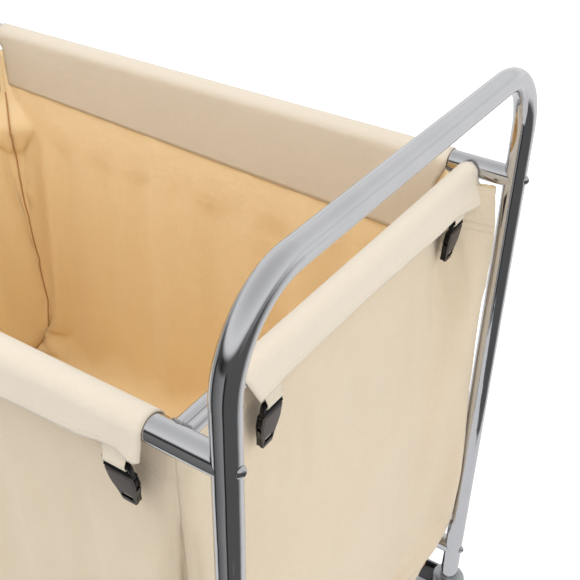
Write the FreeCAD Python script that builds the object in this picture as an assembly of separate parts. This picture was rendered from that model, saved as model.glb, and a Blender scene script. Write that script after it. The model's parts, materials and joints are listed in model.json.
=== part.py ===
"""Linen trolley: a chromed tube frame on swivel casters that carries a sewn canvas bag.

Row frame, millimetres: X runs along the trolley, Y across it and Z up. The origin is on the
floor under the middle. Right is +X, left is -X, front is -Y and back is +Y.
"""
import FreeCAD, Part
import math
import os

os.makedirs("parts", exist_ok=True)
V = FreeCAD.Vector
AXIS_X = V(1, 0, 0)
AXIS_Y = V(0, 1, 0)
AXIS_Z = V(0, 0, 1)
HUGE = 2000.0                 # longer than the trolley, for cutting tools

# ---- Frame ----
FRAME_LENGTH = 875.0          # hoop to hoop, between tube centres
FRAME_WIDTH = 542.0           # leg to leg of one hoop, between tube centres
TOP_RAIL_Z = 795.0            # centre of the upper rails and crossbars
HANDLE_RISE = 137.0           # from the upper rails to the handle bar, centre to centre
BOTTOM_RAIL_RISE = 60.0       # from the legs' open feet to the centre of the lower rails
HOOP_BEND_R = 80.0            # centre line radius of the hoop's two bends
TUBE_D = 25.0                 # hoops and long rails
TUBE_WALL = 1.5
CROSSBAR_D = 20.0
CROSSBAR_WALL = 1.5
CROSSBAR_INSET = 50.0         # from hoop centre to crossbar centre
SUPPORT_BAR_COUNT = 3         # bars under the bag, between the lower crossbars
JOINT_GAP = 0.15              # between a coped tube end and the tube it meets

# ---- Rail fastenings ----
SCREW_D = 6.0
SCREW_HOLE_CLEARANCE = 0.3    # radial, in the legs
THREAD_CLEARANCE = 0.02       # radial, in plugs and nuts
SCREW_GRIP = 18.0             # length of screw inside the plug
SCREW_HEAD_D = 11.0
SCREW_HEAD_H = 3.6
SCREW_HEX_AF = 4.0            # hex socket across flats
SCREW_HEX_DEPTH = 2.0
PLUG_LENGTH = 24.0
PLUG_CLEARANCE = 0.05

# ---- Casters ----
WHEEL_D = 100.0
TYRE_W = 32.0
TYRE_SECTION = 12.0           # rubber depth outside the core
TYRE_EDGE_R = 6.0
CORE_RIM_W = 27.0
CORE_RIM_DEPTH = 6.0
CORE_WEB_W = 8.0
CORE_BOSS_D = 26.0
TRAIL = 28.0                  # swivel axis to wheel axis
AXLE_D = 12.0
AXLE_CLEARANCE = 0.06         # radial, in the wheel core
AXLE_HEX_AF = 18.0
AXLE_HEX_H = 5.0
FORK_PLATE = 3.0
FORK_SIDE_GAP = 2.0           # tyre to fork plate
FORK_FOOT_R = 11.0
CROWN_D = 46.0
CROWN_H = 6.0
CROWN_WHEEL_GAP = 3.5         # top of the tyre to the underside of the crown
SWIVEL_GAP = 0.3              # crown to the fixed cap and to the kingpin head
KINGPIN_D = 10.0
KINGPIN_CLEARANCE = 0.05
KINGPIN_HEAD_D = 16.0
KINGPIN_HEAD_H = 2.4
CAP_BASE_D = 48.0
CAP_H = 11.7
CAP_TOP_LIP = 1.0             # radial, top of the cap beyond the leg
STEM_D = 11.0
STEM_LENGTH = 38.0
SOCKET_LENGTH = 42.0
SOCKET_FLANGE_H = 1.5
SOCKET_CLEARANCE = 0.05

# ---- Brake, on the two right-hand casters ----
BRAKE_PIVOT_OUT = 32.0        # from the wheel axis, away from the swivel axis
BRAKE_BARREL_R = 5.0
BRAKE_TYRE_GAP = 1.86         # pedal's barrel to the tyre
BRAKE_CAM_OFFSET = 3.6
BRAKE_CAM_R = 3.0
BRAKE_CAM_LEAD = 30.0         # degrees of pedal travel before the cam faces the tyre
BRAKE_PIN_D = 5.0
BRAKE_PIN_CLEARANCE = 0.05
BRAKE_SIDE_GAP = 0.5
BRAKE_EAR_R = 8.0
PEDAL_LENGTH = 36.0
PEDAL_THICKNESS = 4.0
PEDAL_W = 30.0
PEDAL_RISE = 12.0             # degrees above level when released

# ---- Bag ----
CLOTH = 2.0                   # doubled canvas
CLOTH_GAP = 0.3               # cloth to tube
BAG_CORNER = 36.0             # length cut off each corner of the outline
BAG_FLOOR = 3.0
FLOOR_SEAM_GAP = 0.2          # edge of the floor panel to the walls round it
NECK_DEPTH = 25.0             # straight part of the wall below the rail centre
SHOULDER_DEPTH = 130.0        # wall still nearly upright down to here, behind the buckles
SHOULDER_OUT_X = 3.0          # wall's reach past the rim, end walls
SHOULDER_OUT_Y = 1.0          # the same, long walls
WAIST_HEIGHT = 325.0          # above the underside of the floor panel
WAIST_OUT_X = 41.0
WAIST_OUT_Y = 14.0
BELLY_HEIGHT = 155.0
BELLY_OUT_X = 55.0
BELLY_OUT_Y = 16.0
HEEL_HEIGHT = 35.0
HEEL_OUT_X = 51.0
HEEL_OUT_Y = 6.0
BASE_OUT_X = 45.0
FLAP_DROP = 34.0              # rail centre to flap hem
LONG_FLAP_LENGTH = 735.0
END_FLAP_LENGTH = 442.0
END_FLAP_SHIFT = 25.0         # end flaps sit this far towards the back

# ---- Buckles ----
LONG_BUCKLE_PITCH = 337.5     # three on each long side
END_BUCKLE_PITCH = 370.0      # two on each end
END_BUCKLE_SHIFT = 32.0
CLIP_SIDE = 2.7               # clip frame beside its slot
BUCKLE_LENGTH = 58.0
BUCKLE_TIP_W = 15.5
BUCKLE_BODY_T = 8.0
BUCKLE_CLIP_T = 4.8
BUCKLE_WALL = 1.8
BUCKLE_GAP = 0.4              # prongs to body
CLIP_BAR = 4.2
CLIP_SLOT = 5.4
PRONG_LENGTH = 20.0
PRONG_W = 4.0
PRONG_T = 3.8
TAB_W = 23.0
TAB_T = 1.4
TAB_UP = 9.0                  # length of tab behind the flap
BUCKLE_DROP = 5.0             # flap hem to the top of the clip
BUCKLE_TILT_LONG = 13.0       # degrees, tip leaning towards the bag
BUCKLE_TILT_END = 8.0
TAIL_SLOT = 4.4
TAIL_DROP = 0.0               # webbing reaching past the tip of the buckle body

# ---- Worked out from the sizes above ----
HOOP_X = FRAME_LENGTH / 2
LEG_Y = FRAME_WIDTH / 2
TUBE_R = TUBE_D / 2
BORE_R = TUBE_R - TUBE_WALL
CROSSBAR_R = CROSSBAR_D / 2
CROSSBAR_X = HOOP_X - CROSSBAR_INSET
WHEEL_R = WHEEL_D / 2
AXLE_R = AXLE_D / 2
FORK_INNER_Y = TYRE_W / 2 + FORK_SIDE_GAP
FORK_OUTER_Y = FORK_INNER_Y + FORK_PLATE
CROWN_BOTTOM = WHEEL_D + CROWN_WHEEL_GAP
CROWN_TOP = CROWN_BOTTOM + CROWN_H
CAP_BOTTOM = CROWN_TOP + SWIVEL_GAP
CAP_TOP = CAP_BOTTOM + CAP_H
CAP_TOP_R = TUBE_R + CAP_TOP_LIP
LEG_FOOT_Z = CAP_TOP + SOCKET_FLANGE_H
BOTTOM_RAIL_Z = LEG_FOOT_Z + BOTTOM_RAIL_RISE
HANDLE_Z = TOP_RAIL_Z + HANDLE_RISE
BRAKE_PIVOT_R = WHEEL_R + BRAKE_BARREL_R + BRAKE_TYRE_GAP
BRAKE_PIVOT_UP = math.sqrt(BRAKE_PIVOT_R ** 2 - BRAKE_PIVOT_OUT ** 2)
BUCKLE_W = TAB_W + 2 * (CLOTH_GAP + CLIP_SIDE)
BAG_FLOOR_Z = BOTTOM_RAIL_Z + CROSSBAR_R + CLOTH_GAP
RIM_X = CROSSBAR_X - CROSSBAR_R - CLOTH_GAP
RIM_Y = LEG_Y - TUBE_R - CLOTH_GAP
BODY_TOP = -(CLIP_BAR + CLIP_SLOT + CLIP_BAR + CLOTH_GAP)

FRONT_BACK = (("front", -1), ("back", 1))
RIGHT_LEFT = (("right", 1), ("left", -1))


def save(name, *solids):
    """Write one node: a single solid, or several as a group."""
    shape = solids[0] if len(solids) == 1 else Part.makeCompound(list(solids))
    shape.exportStep("parts/" + name + ".step")


def cylinder(radius, start, end):
    """A round bar between two points."""
    along = end - start
    return Part.makeCylinder(radius, along.Length, start, along)


def tube(outer_r, inner_r, start, end):
    """A round tube between two points."""
    return cylinder(outer_r, start, end).cut(cylinder(inner_r, start, end))


def centred_box(size_x, size_y, z_low, z_high):
    """A box centred on the Z axis."""
    return Part.makeBox(size_x, size_y, z_high - z_low, V(-size_x / 2, -size_y / 2, z_low))


def polygon_prism(points, along):
    """A prism over a closed outline of points, with its faces outward."""
    wire = Part.makePolygon(list(points) + [points[0]])
    prism = Part.Face(wire).extrude(along)
    if prism.Volume < 0:
        prism.reverse()
    return prism


def hexagon_prism(across_flats, start, along):
    """A hexagonal prism with its axis along X or Y."""
    corner_r = across_flats / math.sqrt(3)
    side = AXIS_Y if abs(along.x) > abs(along.y) else AXIS_X
    points = []
    for step in range(6):
        angle = math.radians(60 * step)
        across = side * (corner_r * math.cos(angle))
        points.append(start + across + AXIS_Z * (corner_r * math.sin(angle)))
    return polygon_prism(points, along)


def ring_of_profile(points, centre, axis):
    """A closed outline turned right round an axis."""
    wire = Part.makePolygon(list(points) + [points[0]])
    return Part.Face(wire).revolve(centre, axis, 360)


def around(shape, turn, place):
    """A copy turned about Z by some degrees and then moved."""
    placed = shape.copy()
    placed.rotate(V(0, 0, 0), AXIS_Z, turn)
    placed.translate(place)
    return placed


# ---- Frame ----
def hoop_sweep(x, radius):
    """A solid bar along the hoop's centre line: up one leg, across the top, down the other."""
    low = LEG_FOOT_Z
    bend = HOOP_BEND_R
    diagonal = bend * (1 - math.cos(math.pi / 4))
    front_foot = V(x, -LEG_Y, low)
    front_top = V(x, -LEG_Y, HANDLE_Z - bend)
    bar_front = V(x, -LEG_Y + bend, HANDLE_Z)
    bar_back = V(x, LEG_Y - bend, HANDLE_Z)
    back_top = V(x, LEG_Y, HANDLE_Z - bend)
    back_foot = V(x, LEG_Y, low)
    front_mid = V(x, -LEG_Y + diagonal, HANDLE_Z - diagonal)
    back_mid = V(x, LEG_Y - diagonal, HANDLE_Z - diagonal)
    edges = [
        Part.LineSegment(front_foot, front_top).toShape(),
        Part.Arc(front_top, front_mid, bar_front).toShape(),
        Part.LineSegment(bar_front, bar_back).toShape(),
        Part.Arc(bar_back, back_mid, back_top).toShape(),
        Part.LineSegment(back_top, back_foot).toShape(),
    ]
    section = Part.Wire(Part.makeCircle(radius, front_foot, AXIS_Z))
    return Part.Wire(edges).makePipeShell([section], True, False)


def end_hoop(side):
    """One bent tube: two legs, two bends and the handle bar, drilled for the rail screws."""
    x = side * HOOP_X
    shape = hoop_sweep(x, TUBE_R).cut(hoop_sweep(x, BORE_R))
    hole_r = SCREW_D / 2 + SCREW_HOLE_CLEARANCE
    for y in (-LEG_Y, LEG_Y):
        for z in (TOP_RAIL_Z, BOTTOM_RAIL_Z):
            hole = cylinder(hole_r, V(x - TUBE_D, y, z), V(x + TUBE_D, y, z))
            shape = shape.cut(hole)
    return shape


def leg_envelope(side, y, gap):
    """The room a leg takes, for coping what meets it."""
    x = side * HOOP_X
    return cylinder(TUBE_R + gap, V(x, y, LEG_FOOT_Z), V(x, y, HANDLE_Z - HOOP_BEND_R))


def long_rail(y, z):
    """A tube between the hoops with both ends coped to the legs."""
    shape = tube(TUBE_R, BORE_R, V(-HOOP_X, y, z), V(HOOP_X, y, z))
    for side in (-1, 1):
        shape = shape.cut(leg_envelope(side, y, JOINT_GAP))
    return shape


def crossbar(x, z):
    """A tube between the long rails with both ends coped to them."""
    shape = tube(CROSSBAR_R, CROSSBAR_R - CROSSBAR_WALL, V(x, -LEG_Y, z), V(x, LEG_Y, z))
    for y in (-LEG_Y, LEG_Y):
        rail_room = cylinder(TUBE_R + JOINT_GAP, V(-HOOP_X, y, z), V(HOOP_X, y, z))
        shape = shape.cut(rail_room)
    return shape


def rail_plug(side, y, z):
    """A threaded plug inside the rail's end."""
    leg_face = HOOP_X - TUBE_R
    inner = V(side * (leg_face - PLUG_LENGTH), y, z)
    shape = cylinder(BORE_R - PLUG_CLEARANCE, inner, V(side * HOOP_X, y, z))
    shape = shape.cut(leg_envelope(side, y, JOINT_GAP))
    return shape.cut(cylinder(SCREW_D / 2 + THREAD_CLEARANCE, inner, V(side * HOOP_X, y, z)))


def rail_screw():
    """A dome-head screw along X, drawn with the leg's axis on Z, its head shaped to the tube."""
    tube_top = V(TUBE_R, 0, 0)
    top = V(TUBE_R + SCREW_HEAD_H, 0, 0)
    dome_r = (SCREW_HEAD_D ** 2 / 4 + SCREW_HEAD_H ** 2) / (2 * SCREW_HEAD_H)
    base = cylinder(SCREW_HEAD_D / 2, V(0, 0, 0), tube_top)
    dome = cylinder(SCREW_HEAD_D / 2, tube_top, top)
    dome = dome.common(Part.makeSphere(dome_r, top - V(dome_r, 0, 0)))
    leg_room = cylinder(TUBE_R + JOINT_GAP, V(0, 0, -TUBE_D), V(0, 0, TUBE_D))
    head = base.fuse(dome).cut(leg_room)
    shank = cylinder(SCREW_D / 2, V(-TUBE_R - SCREW_GRIP, 0, 0), tube_top + V(SCREW_HEAD_H / 4, 0, 0))
    recess = hexagon_prism(SCREW_HEX_AF, top, V(-SCREW_HEX_DEPTH, 0, 0))
    return head.fuse(shank).removeSplitter().cut(recess)


def build_frame():
    """Hoops, rails, crossbars and their fastenings."""
    for side_name, side in RIGHT_LEFT:
        save(side_name + "_end_hoop", end_hoop(side))
        save(side_name + "_top_crossbar", crossbar(side * CROSSBAR_X, TOP_RAIL_Z))
        save(side_name + "_bottom_crossbar", crossbar(side * CROSSBAR_X, BOTTOM_RAIL_Z))
    for face_name, face in FRONT_BACK:
        save(face_name + "_top_rail", long_rail(face * LEG_Y, TOP_RAIL_Z))
        save(face_name + "_bottom_rail", long_rail(face * LEG_Y, BOTTOM_RAIL_Z))
    plugs = []
    screws = []
    for side, turn in ((1, 0), (-1, 180)):
        for y in (-LEG_Y, LEG_Y):
            for z in (TOP_RAIL_Z, BOTTOM_RAIL_Z):
                plugs.append(rail_plug(side, y, z))
                screws.append(around(rail_screw(), turn, V(side * HOOP_X, y, z)))
    save("rail_end_plugs", *plugs)
    save("rail_screws", *screws)
    bar_pitch = 2 * CROSSBAR_X / (SUPPORT_BAR_COUNT + 1)
    bars = []
    for index in range(SUPPORT_BAR_COUNT):
        bars.append(crossbar(-CROSSBAR_X + bar_pitch * (index + 1), BOTTOM_RAIL_Z))
    save("bag_support_bars", *bars)


# ---- Casters: drawn with the swivel axis on Z and the wheel trailing towards +X ----
def stem_socket():
    """The insert pressed into a leg's foot."""
    body = cylinder(BORE_R - SOCKET_CLEARANCE, V(0, 0, LEG_FOOT_Z), V(0, 0, LEG_FOOT_Z + SOCKET_LENGTH))
    flange = cylinder(TUBE_R, V(0, 0, CAP_TOP), V(0, 0, LEG_FOOT_Z))
    bore = cylinder(STEM_D / 2 + SOCKET_CLEARANCE, V(0, 0, CAP_TOP), V(0, 0, LEG_FOOT_Z + SOCKET_LENGTH))
    return body.fuse(flange).cut(bore)


def caster_stem():
    """Stem, domed cap and kingpin in one, all fixed to the leg."""
    stem = cylinder(STEM_D / 2, V(0, 0, CAP_TOP), V(0, 0, CAP_TOP + STEM_LENGTH))
    low_edge = V(CAP_BASE_D / 2, 0, CAP_BOTTOM)
    skirt = V(CAP_BASE_D / 2, 0, CAP_BOTTOM + 2 * SOCKET_FLANGE_H)
    crown_edge = V(CAP_TOP_R, 0, CAP_TOP)
    bulge = (skirt + crown_edge) * 0.5 + V(2.4, 0, 2.4)
    edges = [
        Part.makeLine(V(0, 0, CAP_BOTTOM), low_edge),
        Part.makeLine(low_edge, skirt),
        Part.Arc(skirt, bulge, crown_edge).toShape(),
        Part.makeLine(crown_edge, V(0, 0, CAP_TOP)),
        Part.makeLine(V(0, 0, CAP_TOP), V(0, 0, CAP_BOTTOM)),
    ]
    cap = Part.Face(Part.Wire(edges)).revolve(V(0, 0, 0), AXIS_Z, 360)
    head_top = CROWN_BOTTOM - SWIVEL_GAP
    kingpin = cylinder(KINGPIN_D / 2, V(0, 0, head_top - KINGPIN_HEAD_H), V(0, 0, CAP_BOTTOM))
    head = cylinder(KINGPIN_HEAD_D / 2, V(0, 0, head_top - KINGPIN_HEAD_H), V(0, 0, head_top))
    return cap.fuse([stem, kingpin, head]).removeSplitter()


def fork_plate(y, braked):
    """One cheek of the fork, with an ear for the pedal pin on a braked caster."""
    top = CROWN_BOTTOM + CROWN_H / 2
    foot_back = V(TRAIL - FORK_FOOT_R, y, WHEEL_R)
    foot_low = V(TRAIL, y, WHEEL_R - FORK_FOOT_R)
    foot_out = V(TRAIL + FORK_FOOT_R, y, WHEEL_R)
    near = V(-CROWN_D / 3, y, top)
    far = V(CROWN_D / 3, y, top)
    edges = [
        Part.makeLine(near, far),
        Part.makeLine(far, foot_out),
        Part.Arc(foot_out, foot_low, foot_back).toShape(),
        Part.makeLine(foot_back, near),
    ]
    plate = Part.Face(Part.Wire(edges)).extrude(V(0, FORK_PLATE, 0))
    if braked:
        pivot = V(TRAIL + BRAKE_PIVOT_OUT, y, WHEEL_R + BRAKE_PIVOT_UP)
        web_points = [
            V(0, y, top),
            V(pivot.x, y, pivot.z + BRAKE_EAR_R),
            V(pivot.x, y, pivot.z - BRAKE_EAR_R),
            foot_out,
        ]
        ear = cylinder(BRAKE_EAR_R, pivot, pivot + V(0, FORK_PLATE, 0))
        plate = plate.fuse([polygon_prism(web_points, V(0, FORK_PLATE, 0)), ear]).removeSplitter()
    return plate


def fork(braked):
    """Crown and two cheeks, bored for the kingpin, the axle and the pedal pin."""
    crown = cylinder(CROWN_D / 2, V(0, 0, CROWN_BOTTOM), V(0, 0, CROWN_TOP))
    shape = crown.fuse([fork_plate(-FORK_OUTER_Y, braked), fork_plate(FORK_INNER_Y, braked)])
    shape = shape.removeSplitter()
    kingpin_hole = KINGPIN_D / 2 + KINGPIN_CLEARANCE
    shape = shape.cut(cylinder(kingpin_hole, V(0, 0, CROWN_BOTTOM), V(0, 0, CROWN_TOP)))
    axle_hole = AXLE_R + AXLE_CLEARANCE
    shape = shape.cut(cylinder(axle_hole, V(TRAIL, -CROWN_D, WHEEL_R), V(TRAIL, CROWN_D, WHEEL_R)))
    if braked:
        x = TRAIL + BRAKE_PIVOT_OUT
        z = WHEEL_R + BRAKE_PIVOT_UP
        pin_hole = BRAKE_PIN_D / 2 + BRAKE_PIN_CLEARANCE
        shape = shape.cut(cylinder(pin_hole, V(x, -CROWN_D, z), V(x, CROWN_D, z)))
    return shape


def axle():
    """The axle bolt, and its nut as a second solid."""
    head_end = FORK_OUTER_Y + AXLE_HEX_H
    shank = cylinder(AXLE_R, V(TRAIL, -head_end - 1, WHEEL_R), V(TRAIL, head_end, WHEEL_R))
    head = hexagon_prism(AXLE_HEX_AF, V(TRAIL, FORK_OUTER_Y, WHEEL_R), V(0, AXLE_HEX_H, 0))
    nut = hexagon_prism(AXLE_HEX_AF, V(TRAIL, -FORK_OUTER_Y, WHEEL_R), V(0, -AXLE_HEX_H, 0))
    hole = cylinder(AXLE_R + THREAD_CLEARANCE, V(TRAIL, -head_end, WHEEL_R), V(TRAIL, 0, WHEEL_R))
    return shank.fuse(head).removeSplitter(), nut.cut(hole)


def tyre():
    """A rubber ring with rounded shoulders."""
    half_w = TYRE_W / 2
    inner = WHEEL_R - TYRE_SECTION
    flat = half_w - TYRE_EDGE_R
    side_r = WHEEL_R - TYRE_EDGE_R
    diagonal = TYRE_EDGE_R * math.sqrt(0.5)
    front_mid = V(side_r + diagonal, -flat - diagonal, 0)
    back_mid = V(side_r + diagonal, flat + diagonal, 0)
    edges = [
        Part.makeLine(V(inner, -half_w, 0), V(side_r, -half_w, 0)),
        Part.Arc(V(side_r, -half_w, 0), front_mid, V(WHEEL_R, -flat, 0)).toShape(),
        Part.makeLine(V(WHEEL_R, -flat, 0), V(WHEEL_R, flat, 0)),
        Part.Arc(V(WHEEL_R, flat, 0), back_mid, V(side_r, half_w, 0)).toShape(),
        Part.makeLine(V(side_r, half_w, 0), V(inner, half_w, 0)),
        Part.makeLine(V(inner, half_w, 0), V(inner, -half_w, 0)),
    ]
    ring = Part.Face(Part.Wire(edges)).revolve(V(0, 0, 0), AXIS_Y, 360)
    ring.translate(V(TRAIL, 0, WHEEL_R))
    return ring


def wheel_core():
    """Rim, web and boss in one, bored for the axle."""
    rim_r = WHEEL_R - TYRE_SECTION
    rim_in = rim_r - CORE_RIM_DEPTH
    boss_w = 2 * FORK_INNER_Y - 1.0
    boss_r = CORE_BOSS_D / 2
    bore_r = AXLE_R + AXLE_CLEARANCE
    half = [
        (bore_r, boss_w / 2),
        (boss_r, boss_w / 2),
        (boss_r, CORE_WEB_W / 2),
        (rim_in, CORE_WEB_W / 2),
        (rim_in, CORE_RIM_W / 2),
        (rim_r, CORE_RIM_W / 2),
    ]
    outline = half + [(radius, -y) for radius, y in reversed(half)]
    points = [V(TRAIL + radius, y, WHEEL_R) for radius, y in outline]
    return ring_of_profile(points, V(TRAIL, 0, WHEEL_R), AXIS_Y)


def brake_pivot():
    """Middle of the pedal's pin."""
    return V(TRAIL + BRAKE_PIVOT_OUT, 0, WHEEL_R + BRAKE_PIVOT_UP)


def brake_pedal():
    """Barrel, cam nose and foot plate, bored for the pin."""
    pivot = brake_pivot()
    half_w = FORK_INNER_Y - BRAKE_SIDE_GAP
    barrel = cylinder(BRAKE_BARREL_R, pivot - V(0, half_w, 0), pivot + V(0, half_w, 0))
    towards_wheel = math.degrees(math.atan2(-BRAKE_PIVOT_UP, -BRAKE_PIVOT_OUT))
    cam_angle = math.radians(towards_wheel + BRAKE_CAM_LEAD)
    cam_centre = pivot + V(math.cos(cam_angle), 0, math.sin(cam_angle)) * BRAKE_CAM_OFFSET
    cam = cylinder(BRAKE_CAM_R, cam_centre - V(0, TYRE_W / 3, 0), cam_centre + V(0, TYRE_W / 3, 0))
    plate_low = V(0, -PEDAL_W / 2, -PEDAL_THICKNESS / 2)
    plate = Part.makeBox(PEDAL_LENGTH, PEDAL_W, PEDAL_THICKNESS, plate_low)
    plate.rotate(V(0, 0, 0), AXIS_Y, -PEDAL_RISE)
    plate.translate(pivot)
    shape = barrel.fuse([cam, plate]).removeSplitter()
    reach = V(0, CROWN_D, 0)
    return shape.cut(cylinder(BRAKE_PIN_D / 2 + BRAKE_PIN_CLEARANCE, pivot - reach, pivot + reach))


def brake_pin():
    """The pin the pedal turns on."""
    reach = V(0, FORK_OUTER_Y + 1.0, 0)
    return cylinder(BRAKE_PIN_D / 2, brake_pivot() - reach, brake_pivot() + reach)


def at_corner(shape, side, face):
    """A caster piece moved to its leg, trailing towards the middle of the trolley."""
    turn = 180 if side > 0 else 0
    return around(shape, turn, V(side * HOOP_X, face * LEG_Y, 0))


def build_casters():
    """Four casters; the right-hand pair has brakes."""
    sockets = []
    stems = []
    for side_name, side in RIGHT_LEFT:
        braked = side > 0
        for face_name, face in FRONT_BACK:
            corner = face_name + "_" + side_name
            bolt, nut = axle()
            sockets.append(at_corner(stem_socket(), side, face))
            stems.append(at_corner(caster_stem(), side, face))
            save(corner + "_caster_fork", at_corner(fork(braked), side, face))
            save(corner + "_caster_axle", at_corner(bolt, side, face), at_corner(nut, side, face))
            save(corner + "_wheel_tyre", at_corner(tyre(), side, face))
            save(corner + "_wheel_core", at_corner(wheel_core(), side, face))
            if braked:
                save(corner + "_brake_pedal", at_corner(brake_pedal(), side, face))
                save(corner + "_brake_pin", at_corner(brake_pin(), side, face))
    save("leg_stem_sockets", *sockets)
    save("caster_stems", *stems)


# ---- Bag ----
def bag_levels():
    """Height and half sizes of the bag's outline, from the foot of the walls to the rim."""
    return [
        (BAG_FLOOR_Z, RIM_X + BASE_OUT_X, RIM_Y),
        (BAG_FLOOR_Z + HEEL_HEIGHT, RIM_X + HEEL_OUT_X, RIM_Y + HEEL_OUT_Y),
        (BAG_FLOOR_Z + BELLY_HEIGHT, RIM_X + BELLY_OUT_X, RIM_Y + BELLY_OUT_Y),
        (BAG_FLOOR_Z + WAIST_HEIGHT, RIM_X + WAIST_OUT_X, RIM_Y + WAIST_OUT_Y),
        (TOP_RAIL_Z - SHOULDER_DEPTH, RIM_X + SHOULDER_OUT_X, RIM_Y + SHOULDER_OUT_Y),
        (TOP_RAIL_Z - NECK_DEPTH, RIM_X, RIM_Y),
        (TOP_RAIL_Z, RIM_X, RIM_Y),
    ]


def bag_outline(z, half_x, half_y, inset):
    """The outline at one height: a rectangle with its corners cut off."""
    cut = BAG_CORNER - inset * (2 - math.sqrt(2))
    x = half_x - inset
    y = half_y - inset
    return [
        V(x - cut, -y, z), V(x, cut - y, z), V(x, y - cut, z), V(x - cut, y, z),
        V(cut - x, y, z), V(-x, y - cut, z), V(-x, cut - y, z), V(cut - x, -y, z),
    ]


def bag_body(inset):
    """The filled shape of the bag, inset from its outside."""
    wires = []
    for z, half_x, half_y in bag_levels():
        points = bag_outline(z, half_x, half_y, inset)
        wires.append(Part.makePolygon(points + [points[0]]))
    return Part.makeLoft(wires, True, True)


def build_bag_walls():
    """Four sewn panels that meet at the corners, and the floor panel inside their foot."""
    shell = bag_body(0).cut(bag_body(CLOTH))
    levels = bag_levels()
    split = (levels[0][1] - levels[0][2] + levels[-1][1] - levels[-1][2]) / 2
    for face_name, face in FRONT_BACK:
        outline = [
            V(-split, 0, 0), V(split, 0, 0),
            V(split + HUGE, face * HUGE, 0), V(-split - HUGE, face * HUGE, 0),
        ]
        save("bag_" + face_name + "_panel", shell.common(polygon_prism(outline, V(0, 0, HUGE))))
    for side_name, side in RIGHT_LEFT:
        outline = [
            V(side * split, 0, 0),
            V(side * (split + HUGE), -HUGE, 0),
            V(side * (split + HUGE), HUGE, 0),
        ]
        save("bag_" + side_name + "_panel", shell.common(polygon_prism(outline, V(0, 0, HUGE))))
    floor = bag_outline(BAG_FLOOR_Z, levels[0][1], levels[0][2], CLOTH + FLOOR_SEAM_GAP)
    save("bag_floor_panel", polygon_prism(floor, V(0, 0, BAG_FLOOR)))


def flap(bar_r, length):
    """Cloth folded over a bar that lies along Y, hanging on its +X side."""
    inner = bar_r + CLOTH_GAP
    outer = inner + CLOTH
    start = -length / 2
    edges = [
        Part.Arc(V(-outer, start, 0), V(0, start, outer), V(outer, start, 0)).toShape(),
        Part.makeLine(V(outer, start, 0), V(outer, start, -FLAP_DROP)),
        Part.makeLine(V(outer, start, -FLAP_DROP), V(inner, start, -FLAP_DROP)),
        Part.makeLine(V(inner, start, -FLAP_DROP), V(inner, start, 0)),
        Part.Arc(V(inner, start, 0), V(0, start, inner), V(-inner, start, 0)).toShape(),
        Part.makeLine(V(-inner, start, 0), V(-outer, start, 0)),
    ]
    return Part.Face(Part.Wire(edges)).extrude(V(0, length, 0))


def build_flaps():
    """The four fold-over flaps at the rim."""
    end_flap = flap(CROSSBAR_R, END_FLAP_LENGTH)
    long_flap = flap(TUBE_R, LONG_FLAP_LENGTH)
    save("bag_right_flap", around(end_flap, 0, V(CROSSBAR_X, END_FLAP_SHIFT, TOP_RAIL_Z)))
    save("bag_left_flap", around(end_flap, 180, V(-CROSSBAR_X, END_FLAP_SHIFT, TOP_RAIL_Z)))
    save("bag_back_flap", around(long_flap, 90, V(0, LEG_Y, TOP_RAIL_Z)))
    save("bag_front_flap", around(long_flap, -90, V(0, -LEG_Y, TOP_RAIL_Z)))


# ---- Buckles: drawn hanging down from the origin, width on Y and outside towards +X ----
def buckle_clip():
    """The fixed half: a slotted frame for the tab, and two latching prongs."""
    frame_low = -(2 * CLIP_BAR + CLIP_SLOT)
    plate = centred_box(BUCKLE_CLIP_T, BUCKLE_W, frame_low, 0)
    slot = centred_box(2 * BUCKLE_CLIP_T, TAB_W + 2 * CLOTH_GAP, -(CLIP_BAR + CLIP_SLOT), -CLIP_BAR)
    shape = plate.cut(slot)
    prong_y = BUCKLE_W / 2 - BUCKLE_WALL - BUCKLE_GAP - PRONG_W / 2
    for y in (-prong_y, prong_y):
        prong = centred_box(PRONG_T, PRONG_W, frame_low - PRONG_LENGTH, frame_low)
        prong.translate(V(0, y, 0))
        shape = shape.fuse(prong)
    return shape.removeSplitter()


def buckle_body():
    """The half that pulls off: a tapered sleeve with side windows and a webbing slot."""
    half_w = BUCKLE_W / 2
    half_tip = BUCKLE_TIP_W / 2
    taper_z = BODY_TOP - PRONG_LENGTH
    outline = [
        V(-BUCKLE_BODY_T / 2, -half_w, BODY_TOP),
        V(-BUCKLE_BODY_T / 2, half_w, BODY_TOP),
        V(-BUCKLE_BODY_T / 2, half_w, taper_z),
        V(-BUCKLE_BODY_T / 2, half_tip, -BUCKLE_LENGTH),
        V(-BUCKLE_BODY_T / 2, -half_tip, -BUCKLE_LENGTH),
        V(-BUCKLE_BODY_T / 2, -half_w, taper_z),
    ]
    shape = polygon_prism(outline, V(BUCKLE_BODY_T, 0, 0))
    cavity_w = BUCKLE_W - 2 * BUCKLE_WALL
    cavity_t = BUCKLE_BODY_T - 2 * BUCKLE_WALL
    shape = shape.cut(centred_box(cavity_t, cavity_w, taper_z - BUCKLE_GAP, BODY_TOP))
    window_top = BODY_TOP - PRONG_LENGTH / 4
    window_low = BODY_TOP - PRONG_LENGTH * 0.8
    shape = shape.cut(centred_box(cavity_t, 2 * BUCKLE_W, window_low, window_top))
    slot_low = -BUCKLE_LENGTH + TAIL_SLOT / 2
    slot_w = BUCKLE_TIP_W - 2 * BUCKLE_WALL
    return shape.cut(centred_box(2 * BUCKLE_BODY_T, slot_w, slot_low, slot_low + TAIL_SLOT))


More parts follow.
